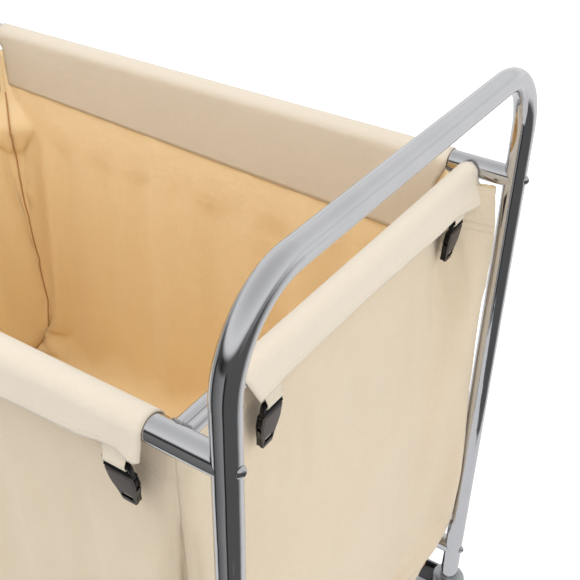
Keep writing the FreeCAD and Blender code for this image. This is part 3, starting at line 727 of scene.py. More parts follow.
def build_walls():
    """The four wall panels, each standing for its measured node."""
    settled = settled_walls()
    walls = {}
    for (side, _, _), (first, faces_round) in zip(SIDES, panel_columns()):
        piece = cut_panel("bag_" + side + "_wall", settled, first, faces_round)
        hand_over(piece, "frame", "canvas", "bag_" + side + "_panel")
        walls[side] = (piece, settled, first, faces_round)
    return walls


WALLS = build_walls()


for side, (piece, _, _, _) in WALLS.items():
    rail = side + "_top_rail" if side in ("front", "back") else side + "_top_crossbar"


# %% [markdown]
# ## The bag's floor
# The floor panel lies on the base bars and dips between them. It is a sheet with a small sag in each
# bay, worked out from the bars' places.

# %% Floor panel
def build_floor():
    """The floor cloth, cut to the foot of the walls and sagging a little between the bars."""
    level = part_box("bag_floor_panel")[1].z
    foot = WALLS["front"][1][:RING]
    upper = foot[foot[:, 1] > 0]
    lower = foot[foot[:, 1] < 0]
    upper = upper[np.argsort(upper[:, 0])]
    lower = lower[np.argsort(lower[:, 0])]
    x_low = max(upper[0, 0], lower[0, 0]) + CLOTH_T / 2
    x_high = min(upper[-1, 0], lower[-1, 0]) - CLOTH_T / 2
    bars = [middle(side + "_bottom_crossbar")[0] for side in ("left", "right")]
    bay = (bars[1] - bars[0]) / 4
    steps_x, steps_y = 84, 50
    points = []
    uvs = []
    for row in range(steps_y + 1):
        for column in range(steps_x + 1):
            x = x_low + (x_high - x_low) * column / steps_x
            y_low = float(np.interp(x, lower[:, 0], lower[:, 1])) + CLOTH_T / 2
            y_high = float(np.interp(x, upper[:, 0], upper[:, 1])) - CLOTH_T / 2
            y = y_low + (y_high - y_low) * row / steps_y
            edge = smooth_step(0, 0.05, min(x - x_low, x_high - x, y - y_low, y_high - y))
            dip = math.sin(math.pi * ((x - bars[0]) / bay % 1.0)) ** 2 if bars[0] < x < bars[1] else 0.0
            swell = 0.0012 * ripple(x * 14, y * 14, 3.0)
            points.append((x, y, level - 0.0008 - edge * (0.002 * dip - swell)))
            uvs.append((x, y))
    piece = mesh_piece("bag_floor_cloth", points, grid_faces(steps_y, steps_x), uvs)
    # Top face, inside the bag: the canvas colour with painted light.
    piece = thick_cloth(piece, CLOTH_T, CANVAS_INSIDE_PAINTED_LIGHT, CANVAS)
    hand_over(piece, "frame", "canvas", "bag_floor_panel")
    length = x_high - x_low


build_floor()


# %% [markdown]
# ## The flaps
# Above the walls the canvas doubles: a band runs down inside, and the flap folds over the rail and
# hangs outside with a turned hem. Each flap is swept from one section - up the inside, over the bar,
# down the outside - and then disturbed: the free hem waves, the cut ends curl, and small puckers
# gather where the tabs are sewn on.

# %% The section of a flap
BAND_DEPTH = 0.066            # how far the doubled band reaches down inside the bag
FLAP_T = 1.5 * MM


def flap_section(bar_r):
    """Points (out, height above the bar's centre, distance) from the inner band's edge to the hem."""
    over_r = bar_r + 0.3 * MM + FLAP_T / 2
    inner_r = over_r + 2.0 * MM
    drop = RAIL_Z - HEM_Z
    path = []
    count_in = round(BAND_DEPTH / 0.004)
    for step in range(count_in):
        path.append((-inner_r, -BAND_DEPTH + BAND_DEPTH * step / count_in))
    arc = 18
    for step in range(arc + 1):
        angle = math.pi * (1 - step / arc)
        radius = over_r + (inner_r - over_r) * (1 - smooth_step(0.0, 0.35, step / arc))
        path.append((radius * math.cos(angle), radius * math.sin(angle)))
    count_out = round(drop / 0.0035)
    for step in range(1, count_out + 1):
        path.append((over_r, -drop * step / count_out))
    section = []
    travelled = 0.0
    for index, (out, height) in enumerate(path):
        if index:
            travelled += math.dist(path[index], path[index - 1])
        section.append((out, height, travelled))
    return section


# %% One flap along its bar
SQUARE_CUT = ((-0.034, 0.002), (0.0, 0.0))
SLANTED_CUT = ((-0.034, 0.0225), (0.0115, 0.0))
# Beside the back rail the hem reaches further than the fold, and flares out.
RAIL_CUT = ((-0.034, -0.006), (-0.0125, -0.004), (0.008, 0.0))
FLARE = 0.008


def flap_surface(name, bar_r, start, end, cuts, seed, tabs, band, hem_line):
    """A flap along a bar on the X axis, hanging towards -Y, with its ends cut and its hem lifted."""
    section = flap_section(bar_r)
    total = section[-1][2]
    drop = RAIL_Z - HEM_Z
    columns = round((end - start) / 0.006)
    points = []
    uvs = []
    for column in range(columns + 1):
        share = column / columns
        rise = along_line(hem_line, start + (end - start) * share)
        for out, height, travelled in section:
            hang = smooth_step(-0.002, -drop, height) if out > 0 else 0.0
            inside = smooth_step(0.0, -BAND_DEPTH, height) if out < 0 else 0.0
            band_trim = 0.010 * smooth_step(0.0, -0.02, height)
            trims = [along_line(cut, height) if out > 0 else band_trim for cut in cuts]
            x = (start + trims[0]) * (1 - share) + (end - trims[1]) * share
            near_end = 1.0 - smooth_step(0.0, 0.03, min(x - start, end - x))
            near_tab = max((math.exp(-((x - tab) / 0.022) ** 2) for tab in tabs), default=0.0)
            wave = ripple(x * 9, seed) * 1.4 + ripple(x * 26, seed + 5, height * 20) * 0.6
            curl = near_end * (1.0 + 1.2 * ripple(height * 60, seed, share * 3))
            free = hang * (1.0 - 0.6 * near_tab)
            lift = MM * (free * (1.2 + wave + curl) + 0.35 * ripple(x * 30, height * 40, seed))
            lift = max(lift, -0.1 * MM)
            for cut, from_end in zip(cuts, (x - start, end - x)):
                lift += FLARE * hang * smooth_step(0.05, 0.0, from_end) if cut is RAIL_CUT else 0.0
            if out < 0:
                lift = MM * inside * 0.8 * (0.5 + 0.5 * ripple(x * 12, height * 18, seed))
                out_now = out + lift * 0.5
            else:
                out_now = out + lift
            z = height
            if height < 0:
                deeper = (band[0] * (1 - share) + band[1] * share) / BAND_DEPTH
                z *= deeper if out < 0 else 1.0 - rise / drop
            z += MM * hang * (0.5 * ripple(x * 16, seed + 9) + 0.5 * near_tab * ripple(x * 60, 1.0))
            if height > 0:
                z += max(lift, 0.0) * 0.4
            points.append((x, -out_now, z))
            uvs.append((x, travelled))
    tall = len(section)
    piece = mesh_piece(name, points, grid_faces(columns, tall - 1), uvs)
    return piece, points, tall, (end - start, total)


# %% Build the four flaps
LONG_BUCKLES = ("left", "middle", "right")
FLAP_GRIDS = {}


def build_flap(side, bar_r, turn, seed, cuts, hem_line, trim=(0.0, 0.0), band=(0.085, 0.085)):
    """Sweep one flap, thicken it and hand it over."""
    reach = RAIL_Y if side in ("front", "back") else BAR_X
    place = Matrix.Rotation(math.radians(turn), 3, "Z") @ Vector((0, -reach, 0)) + Vector((0, 0, RAIL_Z))
    low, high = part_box("bag_" + side + "_flap")
    along = 0 if side in ("front", "back") else 1
    sign = {"front": 1, "right": 1, "back": -1, "left": -1}[side]
    ends = sorted((sign * low[along], sign * high[along]))
    if along == 0:
        buckles = ["buckle_" + side + "_side_" + spot for spot in LONG_BUCKLES]
    else:
        buckles = ["buckle_" + side + "_end_front", "buckle_" + side + "_end_back"]
    tabs = [sign * middle(buckle)[along] for buckle in buckles]
    name = "bag_" + side + "_flap_cloth"
    span = (ends[0] + trim[0], ends[1] - trim[1])
    # The flat length is the section's. The band is made deeper after it, so the real cut is longer.
    piece, grid, tall, flat = flap_surface(name, bar_r, *span, cuts, seed, tabs, band, hem_line)
    to_world = Matrix.Translation(place) @ Matrix.Rotation(math.radians(turn), 4, "Z")
    piece.data.transform(to_world)
    FLAP_GRIDS[side] = (grid, tall, to_world)
    # Inner face, the band: the canvas colour with painted light, deeper where the cloth is doubled.
    piece = thick_cloth(piece, FLAP_T, HEM, BAND_PAINTED_LIGHT)
    hand_over(piece, "frame", "canvas", "bag_" + side + "_flap")
    rail = side + "_top_rail" if along == 0 else side + "_top_crossbar"
    print(piece.name, "flat", round(flat[0], 3), round(flat[1], 3))


LONG_HEM = (
    (-0.366, 0.009), (-0.359, 0.002), (-0.343, 0.010), (-0.328, 0.010), (-0.303, 0.004), (-0.215, 0.0),
    (0.215, 0.0), (0.303, 0.004), (0.328, 0.010), (0.343, 0.010), (0.359, 0.002), (0.366, 0.009),
)
BACK_HEM = ((-0.366, 0.004), (0.366, 0.004))
END_HEM = (
    (-0.174, 0.004), (-0.160, 0.0074), (-0.13, 0.009), (-0.083, 0.0096), (-0.012, 0.0085), (0.07, 0.0047),
    (0.115, 0.0023), (0.163, -0.0004), (0.214, -0.0024), (0.258, -0.0007),
)
MIRRORED_END_HEM = tuple((-y, rise) for y, rise in reversed(END_HEM))
END_TRIM = 0.0095             # how far the end flaps reach past the measured ones, towards the rail

build_flap("front", RAIL_R, 0, 1.5, (SQUARE_CUT, SQUARE_CUT), LONG_HEM)
build_flap("back", RAIL_R, 180, 4.5, (SQUARE_CUT, SQUARE_CUT), BACK_HEM, (0.008, -0.0085), (0.106, 0.074))
build_flap("right", BAR_R, 90, 7.5, (SLANTED_CUT, RAIL_CUT), END_HEM, (0.0, -END_TRIM))
build_flap("left", BAR_R, -90, 9.5, (RAIL_CUT, SLANTED_CUT), MIRRORED_END_HEM, (-END_TRIM, 0.0))

# %% [markdown]
# ## Swept cords of cloth: seams and piping
# Where two panels are sewn, their edges are rolled together and stitched into a thin rope of cloth. It
# follows a path, so Geometry Nodes make it: a curve goes in, and a small profile is swept along it.
# The same kind of tree puts beads of weld metal or stitches along a path.

# %% A tree that sweeps or scatters along paths
def add_spline(curve, points, closed):
    """Add a line through points to a curve."""
    spline = curve.splines.new("POLY")
    spline.points.add(len(points) - 1)
    for target, point in zip(spline.points, points):
        target.co = (*point, 1.0)
    spline.use_cyclic_u = closed


def path_object(name, paths):
    """Curves through lists of points; each path is (points, closed)."""
    curve = bpy.data.curves.new(name, "CURVE")
    curve.dimensions = "3D"
    for points, closed in paths:
        add_spline(curve, points, closed)
    return linked(name, curve)


class Tree:
    """A geometry node tree with named inputs, built from one method like a finish's."""

    def __init__(self, name, **sizes):
        self.tree = bpy.data.node_groups.new(name, "GeometryNodeTree")
        self.tree.interface.new_socket("Geometry", in_out="INPUT", socket_type="NodeSocketGeometry")
        self.identifiers = {}
        for label, value in sizes.items():
            kind = "NodeSocketInt" if isinstance(value, int) else "NodeSocketFloat"
            socket = self.tree.interface.new_socket(label, in_out="INPUT", socket_type=kind)
            self.identifiers[label] = socket.identifier
        self.tree.interface.new_socket("Geometry", in_out="OUTPUT", socket_type="NodeSocketGeometry")
        self.input = self.tree.nodes.new("NodeGroupInput")
        self.output = self.tree.nodes.new("NodeGroupOutput")

    def size(self, label):
        """The socket of a named size."""
        return self.input.outputs[label]

    def node(self, kind, settings, inputs, output=0):
        """Add a node and return one of its outputs."""
        added = self.tree.nodes.new(kind)
        for key, value in settings.items():
            setattr(added, key, value)
        for key, value in inputs.items():
            if isinstance(value, bpy.types.NodeSocket):
                self.tree.links.new(value, added.inputs[key])
            else:
                added.inputs[key].default_value = value
        return added.outputs[output]

    def close(self, geometry, finish):
        """Realize what was made, give it its finish and send it out."""
        real = self.node("GeometryNodeRealizeInstances", {}, {"Geometry": geometry})
        smooth = self.node("GeometryNodeSetShadeSmooth", {}, {"Geometry": real})
        dressed = self.node("GeometryNodeSetMaterial", {}, {"Geometry": smooth, "Material": finish})
        self.tree.links.new(dressed, self.output.inputs[0])

    def apply(self, holder, name, **sizes):
        """Run the tree on an object with these sizes and return a plain mesh piece."""
        modifier = holder.modifiers.new(name, "NODES")
        modifier.node_group = self.tree
        for label, value in sizes.items():
            modifier[self.identifiers[label]] = value
        return baked(holder, name)


# %% Piping, stitches and weld beads
def piping_tree(finish):
    """A soft round rope of cloth along each path."""
    tree = Tree("piping", Radius=0.001)
    inputs = {"Resolution": 8, "Radius": tree.size("Radius")}
    profile = tree.node("GeometryNodeCurvePrimitiveCircle", {}, inputs)
    curve = tree.input.outputs["Geometry"]
    inputs = {"Curve": curve, "Profile Curve": profile, "Fill Caps": True}
    tree.close(tree.node("GeometryNodeCurveToMesh", {}, inputs), finish)
    return tree


def beads_tree(name, finish, rings, segments):
    """Small rounded beads laid end to end along each path."""
    tree = Tree(name, Pitch=0.003, Length=0.002, Width=0.0006, Uneven=0.1, Seed=1)
    inputs = {"Curve": tree.input.outputs["Geometry"], "Length": tree.size("Pitch")}
    points = tree.node("GeometryNodeCurveToPoints", {"mode": "LENGTH"}, inputs)
    turn = points.node.outputs["Rotation"]
    inputs = {"Segments": segments, "Rings": rings, "Radius": 0.5}
    ball = tree.node("GeometryNodeMeshUVSphere", {}, inputs)
    wide = tree.size("Width")
    scale = tree.node("ShaderNodeCombineXYZ", {}, {"X": wide, "Y": wide, "Z": tree.size("Length")})
    low = tree.node("ShaderNodeMath", {"operation": "SUBTRACT"}, {0: 1.0, 1: tree.size("Uneven")})
    high = tree.node("ShaderNodeMath", {"operation": "ADD"}, {0: 1.0, 1: tree.size("Uneven")})
    chance = tree.node("FunctionNodeRandomValue", {"data_type": "FLOAT"}, {"Seed": tree.size("Seed")}, 1)
    tree.tree.links.new(low, chance.node.inputs[2])
    tree.tree.links.new(high, chance.node.inputs[3])
    scaled = tree.node("ShaderNodeVectorMath", {"operation": "SCALE"}, {"Vector": scale, "Scale": chance})
    inputs = {"Points": points, "Instance": ball, "Rotation": turn, "Scale": scaled}
    tree.close(tree.node("GeometryNodeInstanceOnPoints", {}, inputs), finish)
    return tree


# The rope is rolled canvas; its darker brown finish is painted shade of the seam's crease.
PIPING = piping_tree(SEAM_CLOTH_PAINTED_SHADE)
STITCHES = beads_tree("stitches", THREAD_FINISH, 4, 6)
WELD_BEADS = beads_tree("weld_beads", WELD_STEEL, 7, 10)


# %% Corner and floor seams
def wall_point(side, column, height, out):
    """A point on a wall, moved outward along the wall's normal."""
    _, settled, first, _ = WALLS[side]
    row = min(max(round((height - FLOOR_TOP) / (RIM_Z - FLOOR_TOP) * ROWS), 1), ROWS - 1)

    def at(rows_up, columns_on):
        return Vector(settled[(row + rows_up) * RING + (first + column + columns_on) % RING])

    normal = (at(0, 1) - at(0, -1)).cross(at(1, 0) - at(-1, 0)).normalized()
    return at(0, 0) + normal * out


def build_seams():
    """The rolled seams inside the four corners and round the floor."""
    paths = []
    inside = -CLOTH_T / 2 - 0.0002
    for side in WALLS:
        rows = [FLOOR_TOP + (RIM_Z - FLOOR_TOP) * row / ROWS for row in range(1, ROWS - 7)]
        paths.append(([wall_point(side, 0, height, inside) for height in rows], False))
    rim = []
    for side, (_, _, _, faces_round) in WALLS.items():
        rim += [wall_point(side, column, FLOOR_TOP, inside) for column in range(faces_round)]
    lowered = [Vector((p.x, p.y, FLOOR_TOP + 0.001)) for p in rim]
    paths.append((lowered, True))
    piece = PIPING.apply(path_object("bag_seams_path", paths), "bag_seams", Radius=0.0013)
    hand_over(piece, "frame", "canvas")
    print("seams", len(paths), "faces", len(piece.data.polygons))


build_seams()


# %% [markdown]
# ## Stitches
# Every hem is held by a row of lockstitches about 3 mm long. On the outside of the walls two rows show
# where the doubled band inside ends. Each row is a path just off the cloth, and one bead is one stitch.

# %% Rows of stitches
STITCH_PITCH = 0.0034
WALL_ROWS = (0.054, 0.062)     # below the rail's centre


def hem_row(side, up_from_hem, out):
    """A path along a flap, this far above its hem, on its outer face."""
    grid, tall, to_world = FLAP_GRIDS[side]
    columns = len(grid) // tall
    path = []
    step = round(up_from_hem / 0.0035)
    for column in range(1, columns - 1):
        here = Vector(grid[column * tall + tall - 1 - step])
        path.append(to_world @ (here + Vector((0, -out, 0))))
    return path


def band_row(side, up_from_edge, out):
    """A path along the inner band, on the face towards the inside of the bag."""
    grid, tall, to_world = FLAP_GRIDS[side]
    columns = len(grid) // tall
    step = round(up_from_edge / 0.004)
    return [to_world @ (Vector(grid[c * tall + step]) + Vector((0, out, 0))) for c in range(1, columns - 1)]


def build_stitches():
    """All rows of stitches on walls, hems and bands, as one piece."""
    paths = []
    for side, (_, _, _, faces_round) in WALLS.items():
        for depth in WALL_ROWS:
            columns = range(1, faces_round)
            paths.append(([wall_point(side, c, RAIL_Z - depth, CLOTH_T / 2) for c in columns], False))
        for column in (1, faces_round - 1):
            rows = [FLOOR_TOP + (RIM_Z - FLOOR_TOP) * row / ROWS for row in range(2, ROWS - 3)]
            paths.append(([wall_point(side, column, height, CLOTH_T / 2) for height in rows], False))
        paths.append((hem_row(side, 0.007, FLAP_T / 2), False))
        paths.append((band_row(side, 0.005, FLAP_T / 2), False))
    holder = path_object("stitch_paths", paths)
    sizes = {"Pitch": STITCH_PITCH, "Length": 0.0027, "Width": 0.0007, "Uneven": 0.12, "Seed": 3}
    piece = STITCHES.apply(holder, "bag_stitches", **sizes)
    hand_over(piece, "frame", "canvas")
    print("stitches", len(piece.data.polygons) // 24)


build_stitches()


# %% [markdown]
# ## Weld beads
# Each crossbar is coped to the long rail it meets and welded round. The bead follows the curve where
# one cylinder enters another: a circle round the crossbar, pushed back to the rail's surface.

# %% Beads round each crossbar end
def weld_path(x, bar_r, rail_y, rail_z, side):
    """The meeting line of a crossbar, along Y at x, with the rail that runs along X."""
    steps = 40
    path = []
    for step in range(steps):
        angle = 2 * math.pi * step / steps
        across = (bar_r + 0.0004) * math.cos(angle)
        up = (bar_r + 0.0004) * math.sin(angle)
        depth = math.sqrt(max((RAIL_R + 0.0003) ** 2 - up ** 2, 0.0))
        path.append(Vector((x + across, side * (rail_y - depth), rail_z + up)))
    return path


def build_welds():
    """The bead at both ends of every crossbar and base bar, as one piece."""
    paths = []
    low_z = middle("right_bottom_crossbar")[2]
    low_y = middle("back_bottom_rail")[1]
    spacing = BAR_X / 2
    for side in (-1, 1):
        for x in (-BAR_X, BAR_X):
            paths.append((weld_path(x, BAR_R, RAIL_Y, RAIL_Z, side), True))
        for index in range(5):
            x = -BAR_X + spacing * index
            paths.append((weld_path(x, BAR_R, low_y, low_z, side), True))
    holder = path_object("weld_paths", paths)
    sizes = {"Pitch": 0.0013, "Length": 0.0034, "Width": 0.0030, "Uneven": 0.22, "Seed": 8}
    piece = WELD_BEADS.apply(holder, "weld_beads", **sizes)
    hand_over(piece, "frame", "chrome_tube")
    print("weld beads", len(paths), "faces", len(piece.data.polygons))


build_welds()


# %% [markdown]
# ## Side-release buckles
# A side-release buckle is two mouldings. The half that stays on its tab is a slotted frame with two
# springy prongs; the other half is a flat tapered sleeve, open at its sides where the prongs latch.
# Both are mostly flat shapes with rounded edges, so each is built from a few bevelled plates cut from
# an outline, the way a designer sketches them. All of it is drawn hanging from the tab, with X
# pointing away from the bag, Y along the width and Z up, in millimetres.

# %% Outlines and bevelled plates
PLATE_TO_HANGING = Matrix(((0, 0, 1, 0), (1, 0, 0, 0), (0, 1, 0, 0), (0, 0, 0, 1)))


def rounded(corners, radius, steps=4):
    """A closed outline with its corners rounded off."""
    points = []
    count = len(corners)
    for index in range(count):
        corner = Vector(corners[index])
        before = Vector(corners[index - 1]) - corner
        after = Vector(corners[(index + 1) % count]) - corner
        start = corner + before.normalized() * min(radius, before.length / 2.1)
        end = corner + after.normalized() * min(radius, after.length / 2.1)
        for step in range(steps + 1):
            t = step / steps
            points.append(start * (1 - t) ** 2 + corner * 2 * t * (1 - t) + end * t ** 2)
    return points


def mirrored(half):
    """A symmetric outline from its right half, listed from the top down."""
    return half + [(-y, z) for y, z in reversed(half)]


def plate(outlines, x_low, x_high, bevel):
    """A plate between two depths with rounded edges: an outline and its holes, in millimetres."""
    curve = bpy.data.curves.new("plate", "CURVE")
    curve.dimensions = "2D"
    curve.fill_mode = "BOTH"
    curve.extrude = (x_high - x_low) / 2 - bevel
    curve.bevel_depth = bevel
    curve.bevel_resolution = 2
    curve.offset = -bevel
    for outline_points in outlines:
        add_spline(curve, [(point[0], point[1], 0.0) for point in outline_points], True)
    holder = linked("plate", curve)
    graph = bpy.context.evaluated_depsgraph_get()
    mesh = bpy.data.meshes.new_from_object(holder.evaluated_get(graph), depsgraph=graph)
    bpy.data.objects.remove(holder)
    mesh.transform(Matrix.Translation(((x_low + x_high) / 2, 0, 0)) @ PLATE_TO_HANGING)
    return mesh


SHARP_ANGLE = math.radians(38)  # edges of a moulding that turn more than this stay crisp


def welded(meshes_and_finishes):
    """One mesh in metres from several in millimetres, each with its finish and its faces outward."""
    joined = bmesh.new()
    finishes = []
    for mesh, finish in meshes_and_finishes:
        if finish not in finishes:
            finishes.append(finish)
        piece = bmesh.new()
        piece.from_mesh(mesh)
        bmesh.ops.remove_doubles(piece, verts=piece.verts, dist=0.001)
        bmesh.ops.recalc_face_normals(piece, faces=piece.faces)
        for face in piece.faces:
            face.material_index = finishes.index(finish)
            face.smooth = True
        clean = bpy.data.meshes.new("clean")
        piece.to_mesh(clean)
        joined.from_mesh(clean)
        piece.free()
        bpy.data.meshes.remove(clean)
    bmesh.ops.scale(joined, vec=(MM, MM, MM), verts=joined.verts)
    result = bpy.data.meshes.new("welded")
    joined.to_mesh(result)
    joined.free()
    for finish in finishes:
        result.materials.append(finish)
    result.set_sharp_from_angle(angle=SHARP_ANGLE)
    return result


def rod(radius, half_length, x, z, flat=1.0, segments=20):
    """A bar along Y with domed ends, in millimetres."""
    rings = [(-half_length, 0.0), (-half_length, 0.75), (-half_length + radius * 0.3, 1.0)]
    rings += [(half_length - radius * 0.3, 1.0), (half_length, 0.75), (half_length, 0.0)]
    points = []
    for y, share in rings:
        for step in range(segments):
            angle = 2 * math.pi * step / segments
            points.append((
                x + radius * share * flat * math.cos(angle), y, z + radius * share * math.sin(angle)))
    mesh = bpy.data.meshes.new("rod")
    mesh.from_pydata(points, [], grid_faces(len(rings) - 1, segments, closed=True))
    return mesh


# %% The half that pulls off
HALF_W = 14.5                 # half the buckle's width; all of these are in millimetres
HALF_T = 4.0                  # half its thickness
SLEEVE_TOP = -14.1            # heights below the tab's fold
SLEEVE_TIP = -58.0
SLOT_TOP = -45.6
SLOT_LOW = -51.6


def sleeve_mesh():
    """The tapered sleeve: front and back shells, a solid lower end with its slot, and a tip bar."""
    edge = [
        (HALF_W - 0.1, SLEEVE_TOP), (HALF_W, -20.0), (HALF_W - 0.1, -29.5), (HALF_W - 0.9, -31.0),
        (12.2, -38.0), (9.6, -46.5), (7.9, -54.0), (7.6, SLEEVE_TIP + 0.5)]
    top_arch = [(9.0, -14.8), (0.0, -15.3), (-9.0, -14.8)]
    shell = rounded(mirrored(edge) + list(reversed(top_arch)), 1.6)
    slot = rounded([(6.0, SLOT_TOP), (6.0, SLOT_LOW), (-6.0, SLOT_LOW), (-6.0, SLOT_TOP)], 1.3)
    panel_edge = [(13.3, -16.2), (13.3, -29.2), (11.4, -37.4), (8.2, SLOT_TOP + 1.6)]
    panel = rounded(mirrored(panel_edge), 1.4)
    core_edge = [(HALF_W - 0.4, -32.0), (11.9, -38.0), (9.2, -46.5), (7.3, SLEEVE_TIP + 0.8)]
    core = rounded(mirrored(core_edge), 1.0)
    lip_top = SLEEVE_TOP + 0.1
    lip = rounded([(HALF_W - 0.2, lip_top), (HALF_W - 0.2, -17.8), (12.6, -17.8), (12.6, lip_top)], 0.4)
    other_lip = [(-y, z) for y, z in reversed(lip)]
    bridge = rounded([(7.2, -50.2), (7.0, -53.4), (-7.0, -53.4), (-7.2, -50.2)], 0.7)
    parts = [
        (plate([shell, slot], 1.9, 3.4, 0.5), SATIN_PLASTIC),
        (plate([shell, slot], -HALF_T, -2.2, 0.5), BLACK_PLASTIC),
        (plate([core, slot], -2.5, 2.2, 0.2), BLACK_PLASTIC),
        (plate([panel], 2.8, HALF_T - 0.02, 0.5), SATIN_PLASTIC),
        (plate([lip], -2.5, 2.2, 0.2), BLACK_PLASTIC),
        (plate([other_lip], -2.5, 2.2, 0.2), BLACK_PLASTIC),
        (plate([bridge], 2.0, HALF_T - 0.1, 0.4), BLACK_PLASTIC),
        (rod(1.9, 7.3, 1.3, SLEEVE_TIP + 1.95), BLACK_PLASTIC),
    ]
    return welded(parts)


# %% The half that stays on the tab
CLIP_BAR = 4.2                # the frame's bars, above and below its slot
CLIP_SLOT = 5.4
CLIP_FOOT = -(2 * CLIP_BAR + CLIP_SLOT)


def clip_mesh():
    """The slotted frame, its thick lower bar, and two prongs whose barbs show at the sleeve's sides."""
    frame_edge = rounded(mirrored([(HALF_W - 0.9, 0.0), (HALF_W, -4.0), (HALF_W, CLIP_FOOT)]), 1.5)
    slot_half = HALF_W - 2.7
    slot = rounded([
        (slot_half, -CLIP_BAR), (slot_half, -CLIP_BAR - CLIP_SLOT), (-slot_half, -CLIP_BAR - CLIP_SLOT),
        (-slot_half, -CLIP_BAR)], 0.9)
    prong = rounded([
        (8.4, -13.0), (8.4, -29.0), (9.8, -33.0), (12.3, -31.8), (14.1, -27.6), (14.2, -20.4), (12.6, -18.4),
        (12.4, -13.0)], 1.0)
    other_prong = [(-y, z) for y, z in reversed(prong)]
    return welded([
        (plate([frame_edge, slot], -2.4, 2.4, 0.7), BLACK_PLASTIC),
        (rod(2.3, HALF_W - 0.2, 0.9, CLIP_FOOT + 2.25, flat=1.2), BLACK_PLASTIC),
        (plate([prong], -1.85, 1.85, 0.4), BLACK_PLASTIC),
        (plate([other_prong], -1.85, 1.85, 0.4), BLACK_PLASTIC),
    ])


# %% Where each buckle hangs
def buckle_frame(node):
    """The hanging point and axes of a buckle, from its release joint and its own points."""
    joint = next(j for j in frame["joints"] if j["child"] == node)
    down = Vector(joint["axis"]).normalized()
    side = Vector((-down.x, -down.y, 0)).normalized()
    out = (side - down * side.dot(down)).normalized()
    width = (-down).cross(out)
    points = [vertex.co for vertex in NODES[node].data.vertices]
    top = min(p.dot(down) for p in points) + SLEEVE_TOP * MM
    face = max(p.dot(out) for p in points) - HALF_T * MM
    across = [p.dot(width) for p in points]
    middle = (min(across) + max(across)) / 2
    origin = down * top + out * face + width * middle
    turn = Matrix((out, width, -down)).transposed()
    return Matrix.Translation(origin) @ turn.to_4x4()


BUCKLE_NODES = sorted(name for name in NODES if name.startswith("buckle_") and name != "buckle_clips")
BUCKLE_FRAMES = {name: buckle_frame(name) for name in BUCKLE_NODES}
print("buckles hang at", sorted({round(place.translation.z, 4) for place in BUCKLE_FRAMES.values()}))


# %% Straps
def strip_mesh(path, widths, thickness, along_y):
    """A flat strap that follows a path, with rounded long edges; returns points, faces and UVs."""
    points = []
    uvs = []
    travelled = 0.0
    count = len(path)
    right_half = ((0.485, 0.5), (0.5, 0.3), (0.5, -0.3), (0.485, -0.5))
    section = right_half + tuple((-across, -up) for across, up in right_half)
    for index, point in enumerate(path):
        ahead = path[min(index + 1, count - 1)] - path[max(index - 1, 0)]
        normal = ahead.cross(along_y).normalized()
        if index:
            travelled += (point - path[index - 1]).length
        for y, x in section:
            points.append(point + along_y * (y * widths[index]) + normal * (x * thickness))
            uvs.append((y * widths[index], travelled))
    size = len(section)
    faces = grid_faces(count - 1, size, closed=True)
    faces.append(tuple(reversed(range(size))))
    faces.append(tuple(range((count - 1) * size, count * size)))
    return points, faces, uvs


def smooth_path(corners, rounds=3):
    """A path with its corners cut again and again until it is smooth; its ends stay."""
    path = list(corners)
    for _ in range(rounds):
        finer = [path[0]]
        for here, there in zip(path, path[1:]):
            finer.append(here.lerp(there, 0.25))
            finer.append(here.lerp(there, 0.75))
        finer.append(path[-1])
        path = finer
    return path


def strap_piece(name, straps):
    """One piece from several straps."""
    points = []
    faces = []
    uvs = []
    for strap_points, strap_faces, strap_uvs in straps:
        base = len(points)
        points += strap_points
        uvs += strap_uvs
        faces += [tuple(base + i for i in face) for face in strap_faces]
    piece = mesh_piece(name, points, faces, uvs)
    tidy = bmesh.new()
    tidy.from_mesh(piece.data)
    bmesh.ops.recalc_face_normals(tidy, faces=tidy.faces)
    tidy.to_mesh(piece.data)
    tidy.free()
    piece.data.set_sharp_from_angle(angle=math.radians(50))
    piece.data.materials.append(WEBBING)
    return piece


# %% Build the buckles, their tabs and tails
TAB_T = 1.15 * MM
TAB_W = 22.6 * MM
TAIL_W = 11.0 * MM


def tab_strap(place):
    """The tab: down from behind the flap, round the clip's top bar and up again."""
    turn = place.to_3x3()
    out, width, up = turn.col[0], turn.col[1], turn.col[2]
    origin = place.translation
    level_out = Vector((out.x, out.y, 0)).normalized()
    lift = Vector((0, 0, 1))
    gap = 0.62 * MM
    front, back = [[
        origin + lift * 0.0135 + level_out * (face * gap),
        origin + lift * 0.006 + level_out * (face * gap),
        origin + up * 0.0025 + out * (face * 0.0016),
        origin + up * 0.0002 + out * (face * 0.0036),
        origin - up * 0.0052 + out * (face * 0.0034),
    ] for face in (1, -1)]
    path = smooth_path(front + [origin - up * 0.0056] + back[::-1])
    widths = [TAB_W * (1 + 0.10 * smooth_step(0.002, 0.012, (p - origin).z)) for p in path]
    return strip_mesh(path, widths, TAB_T, width)


def tail_strap(place):
    """The tongue of webbing threaded through the sleeve's slot, its loop just inside the slot."""
    turn = place.to_3x3()
    out, width, up = turn.col[0], turn.col[1], turn.col[2]
    at = place.translation
    corners = [
        at - up * 0.0574 - out * 0.0048,
        at - up * 0.0520 - out * 0.0048,
        at - up * 0.0488 - out * 0.0042,
        at - up * 0.0484 - out * 0.0008,
        at - up * 0.0486 + out * 0.0012,
        at - up * 0.0494 + out * 0.0017,
    ]
    path = smooth_path(corners)
    return strip_mesh(path, [TAIL_W] * len(path), TAB_T, width)


